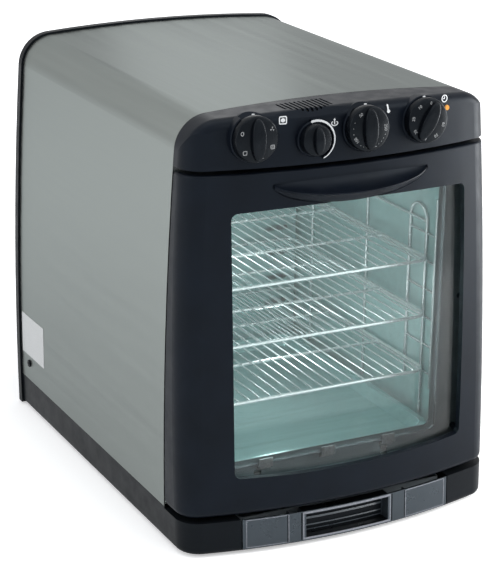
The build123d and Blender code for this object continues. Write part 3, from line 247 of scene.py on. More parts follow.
def wire(path, radius, sides, closed=False, up=(0.0, 0.0, 1.0)):
    """Round wire along a path: a circle carried along it."""
    rings = carry(circle_profile(radius, sides), path, up, closed)
    return rings, tube_faces(len(path), sides, closed)


def arc(centre, radius, start, end, count):
    """Points on an arc; angles are degrees clockwise from straight up."""
    turn = np.radians(np.linspace(start, end, count))
    rx, ry = (radius, radius) if np.isscalar(radius) else radius
    return np.stack([centre[0] + rx * np.sin(turn), centre[1] + ry * np.cos(turn)], axis=-1)


def rounded_box(centre, half_x, half_y, radius, steps=5):
    """Closed outline of a rectangle with round corners, clockwise from the top right."""
    corners = [(1, 1, 0), (1, -1, 90), (-1, -1, 180), (-1, 1, 270)]
    return np.concatenate([
        arc((centre[0] + sx * (half_x - radius), centre[1] + sy * (half_y - radius)), radius,
            turn, turn + 90, steps) for sx, sy, turn in corners])


def text_mesh(body, height):
    """Flat glyphs of a number as (points, faces), centred, with digits of a given height."""
    curve = bpy.data.curves.new("digits", "FONT")
    curve.body = body
    curve.align_x = "CENTER"
    curve.align_y = "CENTER"
    curve.size = height * FONT_PER_DIGIT
    curve.resolution_u = 3
    holder = add_object("digits", curve)
    bpy.context.view_layer.update()
    graph = bpy.context.evaluated_depsgraph_get()
    mesh = bpy.data.meshes.new_from_object(holder.evaluated_get(graph))
    points = np.zeros(len(mesh.vertices) * 3)
    mesh.vertices.foreach_get("co", points)
    corners = np.zeros(len(mesh.loops), int)
    mesh.loops.foreach_get("vertex_index", corners)
    starts = np.zeros(len(mesh.polygons), int)
    mesh.polygons.foreach_get("loop_start", starts)
    bpy.data.objects.remove(holder)
    bpy.data.curves.remove(curve)
    bpy.data.meshes.remove(mesh)
    return points.reshape(-1, 3)[:, :2], np.split(corners, starts[1:])


class Press:
    """Prints thin ink on a surface, one height thick and standing a lift off it.

    The surface function gives the points of its own two coordinates at a lift.
    """

    def __init__(self, surface, lift, height):
        self.surface, self.lift, self.height = surface, lift, height

    def layers(self, flat):
        """Bottom and top of the ink at flat points."""
        return [self.surface(flat[:, 0], flat[:, 1], np.full(len(flat), rise))
                for rise in (self.lift, self.lift + self.height)]

    def line(self, points, width, closed=False):
        """Line along a polyline: each point's two edges stand half the width out along the mean normal of its
        segments, and the surface gives the place of both at the bottom and top of the ink."""
        points = np.asarray(points, float)
        width = np.broadcast_to(np.asarray(width, float), (len(points),))
        run = path_run(points, closed)
        left = np.stack([-run[:, 1], run[:, 0]], axis=-1) * width[:, None] / 2
        (low_left, high_left), (low_right, high_right) = self.layers(points + left), self.layers(points - left)
        rings = np.stack([low_left, low_right, high_right, high_left], axis=1)
        return rings, tube_faces(len(points), 4, closed)

    def patch(self, outline):
        """Filled star-shaped outline, as a thin slab."""
        outline = np.asarray(outline, float)
        count = len(outline)
        ring = np.arange(count)
        after = (ring + 1) % count
        faces = np.stack([ring, after, count + after, count + ring], axis=-1).tolist()
        faces += [ring[::-1].tolist(), (count + ring).tolist()]
        return np.concatenate(self.layers(outline)), faces

    def spot(self, middle, radius, count):
        """Filled round spot, or an oval one for a pair of radii."""
        return self.patch(arc(middle, radius, 360, 0, count)[:-1])

    def text(self, body, height, turn, radius):
        """Number on a dial, its middle at a turn clockwise from up and a radius, its foot to the centre.

        The flat glyphs are turned by the angle, moved out by the radius and laid on the surface. A second
        layer on top and walls along the edges that only one face has close them.
        """
        flat, faces = text_mesh(body, height)
        angle = math.radians(turn)
        out = flat[:, 1] + radius
        flat = np.stack([flat[:, 0] * math.cos(angle) + out * math.sin(angle),
                         -flat[:, 0] * math.sin(angle) + out * math.cos(angle)], axis=-1)
        count = len(flat)
        start = np.concatenate(faces)
        end = np.concatenate([np.roll(polygon, -1) for polygon in faces])
        rim = ~np.isin(start * count + end, end * count + start)
        walls = np.stack([start, end, end + count, start + count], axis=-1)[rim].tolist()
        top = [(polygon + count).tolist() for polygon in faces]
        bottom = [polygon[::-1].tolist() for polygon in faces]
        return np.concatenate(self.layers(flat)), top + bottom + walls


# Materials

def new_material(name, colour, metallic=0.0, roughness=0.5, specular=0.5):
    """Principled material with its plain values set on the shader's own sockets, and that shader."""
    material = bpy.data.materials.new(name)
    material.use_nodes = True
    shader = material.node_tree.nodes["Principled BSDF"]
    shader.inputs["Base Color"].default_value = (*colour, 1.0)
    shader.inputs["Metallic"].default_value = metallic
    shader.inputs["Roughness"].default_value = roughness
    shader.inputs["Specular IOR Level"].default_value = specular
    return material, shader


def add_node(tree, kind, inputs, operation=None):
    """New shader node with each socket joined to an output or set to a value."""
    node = tree.nodes.new("ShaderNode" + kind)
    if operation:
        node.operation = operation
    for socket, value in inputs.items():
        if isinstance(value, bpy.types.NodeSocket):
            tree.links.new(value, node.inputs[socket])
        else:
            node.inputs[socket].default_value = value
    return node


def noise(material, scale, stretch=(1.0, 1.0, 1.0), detail=4.0, rough=0.55):
    """Noise on Object coordinates, stretched per axis; returns its Fac output."""
    tree = material.node_tree
    place = add_node(tree, "TexCoord", {})
    mapping = add_node(tree, "Mapping", {"Vector": place.outputs["Object"], "Scale": stretch})
    return add_node(tree, "TexNoise", {"Vector": mapping.outputs["Vector"], "Scale": scale, "Detail": detail,
                                       "Roughness": rough}).outputs["Fac"]


def ramp(material, source, low, high):
    """Colour ramp from one colour to another over the middle of a 0 to 1 signal."""
    node = add_node(material.node_tree, "ValToRGB", {"Fac": source})
    for stop, position, colour in zip(node.color_ramp.elements, (0.3, 0.7), (low, high)):
        stop.position = position
        stop.color = (*colour, 1.0)
    return node.outputs["Color"]


def spread(material, source, low, high, start=0.3, end=0.7):
    """Maps part of a signal to a range of values."""
    return add_node(material.node_tree, "MapRange", {"Value": source, "From Min": start, "From Max": end,
                                                     "To Min": low, "To Max": high}).outputs["Result"]


def show(tree, last):
    """Joins the last shader node to the tree's output."""
    output = tree.nodes.get("Material Output") or tree.nodes["World Output"]
    tree.links.new(last.outputs["Shader"], output.inputs["Surface"])


def feed(material, output, socket):
    """Joins an output to a socket of the material's shader."""
    material.node_tree.links.new(output, material.node_tree.nodes["Principled BSDF"].inputs[socket])


def add_bump(material, source, distance):
    """Fine relief from a signal, given as a real height."""
    node = add_node(material.node_tree, "Bump", {"Height": source, "Distance": distance, "Strength": 1.0})
    feed(material, node.outputs["Normal"], "Normal")


def shaded(colour, factor):
    """A colour made darker or lighter by a factor."""
    return tuple(min(1.0, channel * factor) for channel in colour)


def mottled(material, source, colour, contrast):
    """Base colour that swings about its middle by the contrast, along a signal."""
    swing = ramp(material, source, shaded(colour, 1 - contrast), shaded(colour, 1 + contrast))
    feed(material, swing, "Base Color")


def moulded(name, colour, roughness, grain=2600.0, relief=0.012 * MM, contrast=0.22, specular=0.5):
    """Injection-moulded plastic: faint cloudy colour, fine spark-eroded grain and uneven gloss."""
    material, shader = new_material(name, colour, roughness=roughness, specular=specular)
    mottled(material, noise(material, 22.0, detail=3.0), colour, contrast)
    feed(material, spread(material, noise(material, 60.0), roughness - 0.05, roughness + 0.06), "Roughness")
    shader.inputs["Specular Tint"].default_value = (0.78, 0.90, 1.0, 1.0)
    add_bump(material, noise(material, grain, detail=2.0), relief)
    return material


def brushed(name, colour, roughness, stretch, contrast=0.10, metallic=1.0, scale=90.0):
    """Rolled or brushed metal: streaks stretched along the rolling direction."""
    material, _ = new_material(name, colour, metallic=metallic, roughness=roughness)
    streaks = noise(material, scale, stretch, detail=6.0, rough=0.65)
    mottled(material, streaks, colour, contrast)
    feed(material, spread(material, streaks, roughness - 0.06, roughness + 0.07), "Roughness")
    add_bump(material, streaks, 0.006 * MM)
    return material


def cast(name, colour, roughness, metallic, scale, relief, contrast=0.25):
    """Dull metal, ceramic or rubber: mottled colour, uneven gloss and a grainy skin."""
    material, _ = new_material(name, colour, metallic=metallic, roughness=roughness)
    patches = noise(material, scale, detail=5.0, rough=0.6)
    mottled(material, patches, colour, contrast)
    feed(material, spread(material, patches, roughness - 0.08, min(1.0, roughness + 0.08)), "Roughness")
    add_bump(material, noise(material, scale * 9, detail=3.0), relief)
    return material


def clear_pane(name, colour, roughness, smear):
    """Clear glass or plastic that lets lamps through, with faint smears in its gloss."""
    material, shader = new_material(name, colour, roughness=roughness)
    shader.inputs["Transmission Weight"].default_value = 1.0
    shader.inputs["IOR"].default_value = 1.25
    feed(material, spread(material, noise(material, 14.0, detail=4.0), roughness, roughness + smear), "Roughness")
    tree = material.node_tree
    path = add_node(tree, "LightPath", {})
    film = add_node(tree, "BsdfTransparent", {"Color": (*colour, 1.0)})
    show(tree, add_node(tree, "MixShader", {"Fac": path.outputs["Is Shadow Ray"], 1: shader.outputs["BSDF"],
                                            2: film.outputs["BSDF"]}))
    return material


def frosted(name, colour, roughness):
    """Smoky translucent plastic with a fine frosted grain, and painted shade that darkens it where it faces up
    under the door.
    """
    material = moulded(name, colour, roughness, grain=900.0, relief=0.02 * MM, contrast=0.15)
    tree = material.node_tree
    shader = tree.nodes["Principled BSDF"]
    shader.inputs["Transmission Weight"].default_value = 0.25
    # Painted shade: the colour falls to 0.06 of itself as the surface turns to face up, as under the door.
    facing = add_node(tree, "NewGeometry", {})
    split = add_node(tree, "SeparateXYZ", {"Vector": facing.outputs["Normal"]})
    plain = shader.inputs["Base Color"].links[0].from_socket
    fall = spread(material, split.outputs["Z"], 1.0, 0.06, 0.6, 0.9)
    painted_shade = add_node(tree, "VectorMath", {"Vector": plain, "Scale": fall}, "SCALE")
    feed(material, painted_shade.outputs["Vector"], "Base Color")
    return material


def coated(name, colour, low, high, scale, detail, roughness, relief=None):
    """Ink, paper or a painted highlight on a plastic edge: a fine grain between two colours, with relief where it
    is given.
    """
    material, _ = new_material(name, colour, roughness=roughness)
    grain = noise(material, scale, detail=detail)
    feed(material, ramp(material, grain, low, high), "Base Color")
    if relief:
        add_bump(material, grain, relief)
    return material


def ink_material(name, colour):
    """Pad-printed ink: slightly uneven cover and a satin skin."""
    return coated(name, colour, shaded(colour, 0.86), colour, 900.0, 2.0, 0.55, 0.01 * MM)


def make_materials(colours):
    """All finishes by slot name, and the two inks."""
    brushed_along_y = (1.0, 0.03, 1.0)
    brushed_along_x = (0.04, 1.0, 1.0)
    body_steel = brushed("satin_steel", colours.steel, 0.36, brushed_along_y, contrast=0.05)
    edge = body_steel.node_tree.nodes["Principled BSDF"].inputs["Specular Tint"]
    edge.default_value = (0.50, 0.51, 0.52, 1.0)
    return {
        "charcoal_moulding": moulded("charcoal_plastic", colours.moulding, 0.40, specular=0.12),
        "black_moulding": moulded("black_plastic", colours.base, 0.42, specular=0.10),
        "knob_black": moulded("knob_plastic", colours.knobs, 0.28, grain=4200.0, relief=0.006 * MM,
                              specular=0.12),
        "control_plastic": moulded("control_body_plastic", (0.11, 0.11, 0.10), 0.5),
        "white_plastic": moulded("terminal_plastic", (0.72, 0.71, 0.66), 0.45, contrast=0.06),
        "drawer_grey": moulded("tray_plastic", (0.16, 0.18, 0.19), 0.35),
        "body_steel": body_steel,
        "inner_stainless": brushed("cavity_steel", (0.37, 0.52, 0.515), 0.40, brushed_along_x, contrast=0.08,
                                   metallic=0.25),
        "galvanised": cast("zinc_coat", (0.52, 0.54, 0.55), 0.42, 1.0, 260.0, 0.01 * MM, 0.3),
        "screw_steel": brushed("turned_steel", (0.62, 0.62, 0.61), 0.28, (1.0, 1.0, 1.0), scale=900.0),
        "wire_chrome": cast("bright_wire", (0.80, 0.79, 0.80), 0.22, 0.6, 500.0, 0.002 * MM, 0.12),
        "element_steel": cast("element_sheath", (0.20, 0.18, 0.16), 0.5, 1.0, 240.0, 0.01 * MM, 0.35),
        "rubber_feet": cast("rubber", (0.02, 0.02, 0.02), 0.75, 0.0, 300.0, 0.03 * MM),
        "seal_silicone": cast("silicone", (0.12, 0.12, 0.12), 0.6, 0.0, 220.0, 0.02 * MM),
        "mineral_wool": cast("wool_blanket", (0.55, 0.47, 0.30), 0.95, 0.0, 420.0, 0.6 * MM, 0.35),
        "ceramic": cast("glazed_ceramic", (0.76, 0.74, 0.68), 0.3, 0.0, 90.0, 0.004 * MM, 0.05),
        "motor_metal": cast("motor_steel", (0.30, 0.31, 0.33), 0.4, 1.0, 300.0, 0.01 * MM),
        "copper_brass": brushed("brass", (0.74, 0.56, 0.25), 0.3, (1.0, 1.0, 1.0), scale=600.0),
        "pan_aluminium": brushed("pan_sheet", (0.46, 0.64, 0.635), 0.2, brushed_along_x, metallic=0.5),
        "door_glass": clear_pane("door_pane", colours.glass, 0.0, 0.01),
        "lamp_glass": clear_pane("lamp_dome", (0.95, 0.95, 0.90), 0.05, 0.05),
        "smoked_clear": frosted("drawer_plastic", (0.031, 0.039, 0.047), 0.30),
        "amber_lens": moulded("amber_plastic", (0.85, 0.36, 0.05), 0.2, contrast=0.1),
        "ink": ink_material("printed_ink", colours.ink),
        # Dial ink at 0.45 of the fascia ink's brightness.
        "dial_ink": ink_material("darker_dial_ink", shaded(colours.ink, 0.45)),
    }


def dress_frame():
    """Every part of the frame takes its finish from its own slot, apart from three with their own look."""
    along_x = (0.04, 1.0, 1.0)
    own = {"front_frame": brushed("frame_steel", (0.36, 0.39, 0.39), 0.34, along_x, metallic=0.7),
           "door_liner": brushed("liner_enamel", (0.110, 0.136, 0.146), 0.35, along_x, metallic=0.5),
           "bonding_terminal": FINISHES["black_moulding"]}
    for part in frame["record"]["subparts"]:
        node = NODES[part["node"]]
        node.data.materials.clear()
        node.data.materials.append(own.get(part["node"], FINISHES[part["material_slot"]]))


class COMBIOVEN_OT_materials(bpy.types.Operator):
    """Gives every part of the frame its finish"""
    bl_idname = "combioven.materials"
    bl_label = "Finishes"

    def execute(self, context):
        FINISHES.update(make_materials(context.scene.combioven_colours))
        dress_frame()
        return {"FINISHED"}


# Stage

def seen_directly(tree):
    """Signal that is 1 for camera, glossy and transmission rays and 0 for the others."""
    path = add_node(tree, "LightPath", {})
    signal = path.outputs["Is Camera Ray"]
    for ray in ("Is Transmission Ray", "Is Glossy Ray"):
        signal = add_node(tree, "Math", {0: signal, 1: path.outputs[ray]}, "MAXIMUM").outputs[0]
    return signal


def make_floor():
    """Round floor: a fan of rings out to five metres, white to the camera apart from the soft shadow."""
    radii = np.array([0.4, 1.0, 2.0, 5.0])
    turn = np.linspace(0, 2 * math.pi, 48, endpoint=False)
    rings = radii[:, None, None] * np.stack([np.cos(turn), np.sin(turn), 0 * turn], axis=-1)[None]
    vertices = np.concatenate([[[0.0, 0.0, 0.0]], rings.reshape(-1, 3)])
    count = len(turn)
    step = np.arange(count)
    after = (step + 1) % count
    low = 1 + count * np.arange(len(radii) - 1)[:, None]
    faces = np.stack([0 * step, 1 + step, 1 + after], axis=-1).tolist()
    faces += np.stack([low + step, low + count + step, low + count + after, low + after],
                      axis=-1).reshape(-1, 4).tolist()
    mesh = bpy.data.meshes.new("floor")
    mesh.from_pydata(vertices.tolist(), [], faces)
    floor = add_object("floor", mesh)
    material, shader = new_material("floor_paper", (0.82, 0.82, 0.82), roughness=0.9, specular=0.0)
    tree = material.node_tree
    place = add_node(tree, "TexCoord", {})
    reach = add_node(tree, "VectorMath", {0: place.outputs["Object"]}, "LENGTH")
    fade = spread(material, reach.outputs["Value"], 0.42, 0.95, 0.4, 1.8)
    strength = add_node(tree, "Math", {0: seen_directly(tree), 1: fade}, "MULTIPLY")
    glow = add_node(tree, "Emission", {"Strength": strength.outputs[0]})
    show(tree, add_node(tree, "AddShader", {0: shader.outputs["BSDF"], 1: glow.outputs["Emission"]}))
    floor.data.materials.append(material)


def make_world():
    """White surround for the camera, gloss and glass, and a softer level for plain light."""
    world = bpy.data.worlds.new("surround")
    world.use_nodes = True
    bpy.context.scene.world = world
    tree = world.node_tree
    lit = tree.nodes["Background"]
    lit.inputs["Color"].default_value = (0.93, 0.96, 1.0, 1.0)
    lit.inputs["Strength"].default_value = 0.62
    white = add_node(tree, "Background", {"Color": (1.0, 1.0, 1.0, 1.0), "Strength": 1.0})
    show(tree, add_node(tree, "MixShader", {"Fac": seen_directly(tree), 1: lit.outputs["Background"],
                                            2: white.outputs["Background"]}))


def stand_at(item, right, up, back, place):
    """Turns a lamp or camera to three directions and puts it at its place."""
    columns = np.column_stack([right, up, back, place])
    item.matrix_world = Matrix(columns.tolist() + [[0, 0, 0, 1]])


def add_area_lamp(name, place, target, width, height, power):
    """Rectangular soft lamp that points from its place at a target."""
    data = bpy.data.lights.new(name, "AREA")
    data.shape = "RECTANGLE"
    data.size = width
    data.size_y = height
    data.energy = power
    lamp = add_object(name, data)
    aim = np.array(target) - np.array(place)
    back = -aim / np.linalg.norm(aim)
    right = np.cross([0.0, 0.0, 1.0], back)
    right /= np.linalg.norm(right)
    stand_at(lamp, right, np.cross(back, right), back, place)
    return lamp


def make_lamps():
    """Large soft lamps round the oven, a low one far right that draws the sheen on the mouldings, one behind
    for the steel top, and two small ones in the cavity that only gloss and plain light see."""
    middle = (0.0, 0.0, 0.28)
    for name, place, width, height, power in (
            ("right_softbox", (1.7, -1.5, 1.7), 1.2, 1.2, 16.0),
            ("front_softbox", (0.4, -2.6, 2.3), 1.2, 1.2, 10.0),
            ("left_softbox", (-2.2, -0.2, 1.3), 1.4, 1.4, 15.5),
            ("top_softbox", (-0.2, -0.2, 2.4), 1.6, 1.6, 14.0),
            ("right_sheen", (1.36, -0.54, 0.44), 0.6, 0.8, 22.0)):
        add_area_lamp(name, place, middle, width, height, power)
    sheen = add_area_lamp("back_sheen", (0.22, 0.60, 0.85), (-0.05, -0.12, 0.52), 0.3, 0.4, 0.36)
    sheen.visible_diffuse = False
    for name, power, place in (("upper_glow", 0.34, (-0.06, -0.02, 0.345)),
                               ("lower_glow", 0.24, (0.02, -0.04, 0.185))):
        glow = bpy.data.lights.new(name, "POINT")
        glow.energy = power
        glow.shadow_soft_size = 0.02
        glow.color = (0.93, 1.0, 0.99)
        lamp = add_object(name, glow)
        lamp.visible_camera = lamp.visible_transmission = False
        lamp.location = place


def make_camera():
    """Camera solved from the photograph's straight edges: place, view direction and focal length."""
    data = bpy.data.cameras.new("photo_camera")
    data.sensor_width = SENSOR
    data.lens = PHOTO_FOCAL / PHOTO_HEIGHT * SENSOR
    data.clip_end = 50.0
    camera = add_object("photo_camera", data)
    stand_at(camera, CAMERA_RIGHT, CAMERA_UP, -np.array(CAMERA_AHEAD), CAMERA_PLACE)
    bpy.context.scene.camera = camera
    bpy.context.scene.view_settings.view_transform = "Standard"


class COMBIOVEN_OT_stage(bpy.types.Operator):
    """Pale floor, white surround, soft lamps and the camera at the photographed angle"""
    bl_idname = "combioven.stage"
    bl_label = "Stage"

    def execute(self, context):
        make_floor()
        make_world()
        make_lamps()
        make_camera()
        return {"FINISHED"}


# Knobs

def turned(profile, count):
    """Surface of revolution: profile points (radius, height) swept round in even steps, with flat ends."""
    profile = np.asarray(profile, float)
    turn = np.linspace(0, 2 * math.pi, count, endpoint=False)
    rings = np.stack([profile[:, :1] * np.cos(turn), profile[:, :1] * np.sin(turn),
                      profile[:, 1:] + 0 * turn], axis=-1)
    return rings, tube_faces(len(profile), count)


def leaf_bar(radius, half_width, foot, rise):
    """Finger bar shaped like a leaf over a round skirt.

    Its outline is the leaf x = half width times the cosine's power 0.9, y = reach times the sine, over a full
    turn. The levels shrink the outline towards the middle while they climb, and each point's height is its
    level's share of the crown, which falls with the square of the distance along the bar.
    """
    turn = np.linspace(0, 2 * math.pi, 64, endpoint=False)
    cosine, sine = np.cos(turn), np.sin(turn)
    across = half_width * np.sign(cosine) * np.abs(cosine) ** 0.9
    along = radius * 0.985 * sine
    shrink = np.array([1.0, 0.985, 0.965, 0.94, 0.90, 0.84, 0.72, 0.52, 0.28, 0.04])[:, None]
    share = np.array([-0.04, 0.30, 0.62, 0.80, 0.90, 0.95, 0.98, 0.995, 1.0, 1.0])[:, None]
    x, y = shrink * across, (1 - (1 - shrink) * half_width / radius) * along
    y = np.where(shrink < 0.6, shrink / 0.6 * y, y)
    crown = rise * (1 - 0.45 * (y / radius) ** 2)
    return np.stack([x, y, foot + share * crown], axis=-1), tube_faces(len(shrink), len(turn))


def knob_shape(joint_name, node, turn):
    """Knob in place of a plain one: a bevelled round skirt and a leaf-shaped bar, on the dial's face.

    The skirt's radius comes from the plain knob's width. The turn is clockwise, in degrees.
    """
    low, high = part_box(node)
    radius = (high.x - low.x) / 2
    scale = radius / PLAIN_RADIUS
    wide = radius + SKIRT_SPREAD * scale
    skirt = [(radius, 0.2 * MM), (radius, RING_TOP + 0.4 * MM), (wide, RING_TOP + 0.9 * MM),
             (wide, KNOB_FACE - 1.4 * MM), (wide - 0.5 * MM, KNOB_FACE - 0.6 * MM),
             (wide - 1.6 * MM, KNOB_FACE), (0.2 * MM, KNOB_FACE)]
    bar = leaf_bar(wide - 1.9 * MM, 8.8 * MM * scale, KNOB_FACE, 6.7 * MM)
    face = dial_face(joint_name)
    angle = math.radians(turn)
    parts = []
    for points, faces in (turned(skirt, 72), bar):
        points = points.reshape(-1, 3)
        across = points[:, 0] * math.cos(angle) + points[:, 1] * math.sin(angle)
        rise = -points[:, 0] * math.sin(angle) + points[:, 1] * math.cos(angle)
        parts.append((face(across, rise, points[:, 2]), faces))
    return merge(parts)


class COMBIOVEN_OT_knobs(bpy.types.Operator):
    """Four knobs with a leaf-shaped finger bar in place of the plain ones"""
    bl_idname = "combioven.knobs"
    bl_label = "Knobs"

    def execute(self, context):
        for name, turn in (("mode", 0.0), ("humidity", 0.0), ("temperature", 0.0), ("timer", 30.0)):
            node = name + "_knob"
            piece = add_piece(name + "_knob_leaf", *knob_shape(name + "_turn", node, turn), name + "_dial",
                              "knob_black", FINISHES["knob_black"], smooth=True)
            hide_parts(node)
        return {"FINISHED"}


# Prints

def dial_press(joint_name, s):
    """Press for a knob's skirt: flat inside the bevel, then falling two for every three out."""
    face = dial_face(joint_name)

    def skin(across, rise, lift):
        over = np.maximum(np.hypot(across, rise) - SKIRT_FLAT, 0.0)
        return face(across, rise, KNOB_FACE - over * 2 / 3 + lift)
    return Press(skin, s.print_lift, s.print_height)


def mode_signs(press, line):
    """Cooking signs round the mode knob, at their turns: two ovals, two squares, two fans and a dash."""
    oval, square, corner = (1.7 * MM, 2.04 * MM), (2.2 * MM, 2.0 * MM), 0.5 * MM

    def at(turn, radius=SIGN_RING):
        return arc((0, 0), radius, turn, turn, 1)[0]

    parts = [press.line(arc(at(turn), oval, 0, 360, 17)[:-1], line, True) for turn in (-66, -176)]
    parts += [press.line(rounded_box(at(turn), *square, corner, 3), line, True) for turn in (-130, 118)]
    parts.append(press.line([at(164, SIGN_RING + reach * MM) for reach in (1.8, 0.0, -1.8)], 1.1 * MM))
    for middle, reach in ((at(60), 2.3 * MM), (at(118), 1.1 * MM)):
        for blade in (0, 120, 240):
            tip = arc(middle, reach, blade, blade + 30, 2)
            root = arc(middle, reach * 0.25, blade, blade, 1)
            parts.append(press.line(np.concatenate([root, tip]), line))
    return parts


def number_ring(press, marks, height):
    """Numbers round a dial at their turns."""
    return [press.text(body, height, turn, NUMBER_RING) for body, turn in marks]


def dot_ring(press, turns):
    """Small round dots between the numbers."""
    middles = [arc((0, 0), NUMBER_RING + MM, turn, turn, 1)[0] for turn in turns]
    return [press.spot(middle, 0.45 * MM, 9) for middle in middles]


class COMBIOVEN_OT_dial_prints(bpy.types.Operator):
    """Signs and numbers printed on the skirts of the knobs"""
    bl_idname = "combioven.dial_prints"
    bl_label = "Dial Prints"

    def execute(self, context):
        s = context.scene.combioven_sizes
        ink = FINISHES["dial_ink"]
        signs = mode_signs(dial_press("mode_turn", s), 0.75 * s.stroke)
        add_piece("mode_dial_signs", *merge(signs), "mode_dial", "white_plastic", ink)
        press = dial_press("temperature_turn", s)
        marks = [("50", -35), ("100", -124), ("200", 166), ("250", 90)]
        dots = [-66, -84, -102, -146, -157, -168, 148, 136, 124, 112]
        parts = number_ring(press, marks, s.digit_height) + dot_ring(press, dots)
        add_piece("temperature_dial_numbers", *merge(parts), "temperature_dial", "white_plastic", ink)
        first, pitch = 8.0, 43.5
        marks = [(str(10 * step), first - pitch * step) for step in range(7)]
        parts = number_ring(dial_press("timer_turn", s), marks, s.digit_height)
        add_piece("timer_dial_numbers", *merge(parts), "timer_dial", "white_plastic", ink)
        return {"FINISHED"}


class COMBIOVEN_OT_fascia_prints(bpy.types.Operator):
    """Signs on the fascia and the index dashes on the raised rings"""
    bl_idname = "combioven.fascia_prints"
    bl_label = "Fascia Prints"

    def execute(self, context):
        s = context.scene.combioven_sizes
        dash = rounded_box((0.0, 26.4 * MM), 1.7 * MM, 0.9 * MM, 0.3 * MM, 3)[::-1]
        parts = [Press(dial_face(name), RING_TOP + s.print_lift, s.print_height).patch(dash)
                 for name in ("mode_turn", "temperature_turn", "timer_turn")]
        press = Press(front_surface, s.print_lift, s.print_height)
        parts += oven_sign(press, -88.7 * MM, 512.0 * MM, s.stroke)
        parts += steam_sign(press, -26.0 * MM, 504.5 * MM, s.stroke)
        parts += thermometer_sign(press, 43.8 * MM, 513.0 * MM)
        parts += clock_sign(press, 125.5 * MM, 514.7 * MM, s.stroke)
        add_piece("fascia_signs", *merge(parts), "chassis", "white_plastic", FINISHES["ink"])
        return {"FINISHED"}


def around(x, z, *offsets):
    """Points at offsets in millimetres from a middle."""
    return [(x + right * MM, z + up * MM) for right, up in offsets]


def oven_sign(press, x, z, line):
    """Rounded square with an oval inside it."""
    square = rounded_box((x, z), 4.1 * MM, 4.0 * MM, 1.2 * MM)
    return [press.line(square, 1.3 * line, True), press.spot((x, z), (2.6 * MM, 2.3 * MM), 25)]


def steam_sign(press, x, z, line):
    """Upright arrow over a cup-shaped arc with two short prongs."""
    cup = arc((x, z - 0.4 * MM), (4.0 * MM, 3.2 * MM), 95, 265, 15)
    parts = [press.line(around(x, z, (0, -2.2), (0, 0), (0, 3.2)), 1.1 * line),
             press.patch(around(x, z, (-1.5, 2.6), (0, 5.0), (1.5, 2.6))), press.line(cup, 1.2 * line)]
    parts += [press.line(around(x, z, (side * 3.9, -0.6), (side * 3.4, 0.4), (side * 2.0, 0.9)), line)
              for side in (-1, 1)]
    return parts


def thermometer_sign(press, x, z):
    """Tilted thermometer: a round bulb and a straight stem with a round end."""
    bulb, middle, top = around(x, z, (0.9, -3.2), (0, 0), (-0.9, 4.2))
    return [press.spot(bulb, 2.1 * MM, 21), press.line([bulb, middle, top], 2.0 * MM),
            press.spot(top, 1.0 * MM, 13)]


def clock_sign(press, x, z, line):
    """Clock: a ring with two hands."""
    ring = arc((x, z), 3.9 * MM, 0, 360, 33)[:-1]
    return [press.line(ring, 1.1 * line, True), press.line(around(x, z, (0, 0), (0, 1.4), (0, 2.7)), line),
            press.line(around(x, z, (-2.0, 0), (-0.8, 0), (0.4, 0)), line)]


def humidity_crescent():
    """Middle line and width of the crescent round the humidity knob.

    The line is a circle about a point right of and below the knob's axis. The width falls in a straight line
    with the turn.
    """
    joint = JOINTS["humidity_turn"]
    middle = (joint["pos_m"][0] + 3.9 * MM, joint["pos_m"][2] - 1.7 * MM)
    path = arc(middle, 22.3 * MM, -14.0, 158.0, 49)
    return path, np.linspace(2.7 * MM, 0.9 * MM, len(path))


class COMBIOVEN_OT_crescent(bpy.types.Operator):
    """Raised crescent lip beside the humidity knob, as high as the ring, with its printed band and dot"""
    bl_idname = "combioven.crescent"
    bl_label = "Humidity Crescent"

    def execute(self, context):
        s = context.scene.combioven_sizes
        path, width = humidity_crescent()
        top = RING_TOP + 0.2 * MM
        lip = Press(front_surface, 0.0, top).line(path, width + 1.4 * MM)
        add_piece("humidity_lip", *lip, "chassis", "charcoal_moulding", FINISHES["charcoal_moulding"])
        band = Press(front_surface, top + s.print_lift, s.print_height).line(path, width)
        dot = Press(front_surface, top + s.print_lift, 1.4 * s.print_height).spot(path[0], 1.5 * MM, 17)
        add_piece("humidity_band", *merge([band, dot]), "chassis", "white_plastic", FINISHES["ink"])
        return {"FINISHED"}


class COMBIOVEN_OT_side_label(bpy.types.Operator):
    """Bare white plate low on the left side"""
    bl_idname = "combioven.side_label"
    bl_label = "Side Label"

    def execute(self, context):
        s = context.scene.combioven_sizes
        middle = (WRAP_FRONT + 422.5 * MM, 110.5 * MM)
        outline = rounded_box(middle, 39.5 * MM, 28.5 * MM, 1.5 * MM)
        lift = np.array([[0.0], [s.label_thickness]]) + 0.05 * MM
        rings = side_surface(-1, outline[None, :, 0], outline[None, :, 1], lift)
        material = coated("label_paper", (0.56, 0.57, 0.57), (0.52, 0.53, 0.53), (0.60, 0.61, 0.61), 700.0, 3.0,
                          0.5, 0.02 * MM)
        add_piece("side_label", rings, tube_faces(2, len(outline)), "chassis", "white_plastic", material)
        return {"FINISHED"}


# Shelves, ladders and drawer

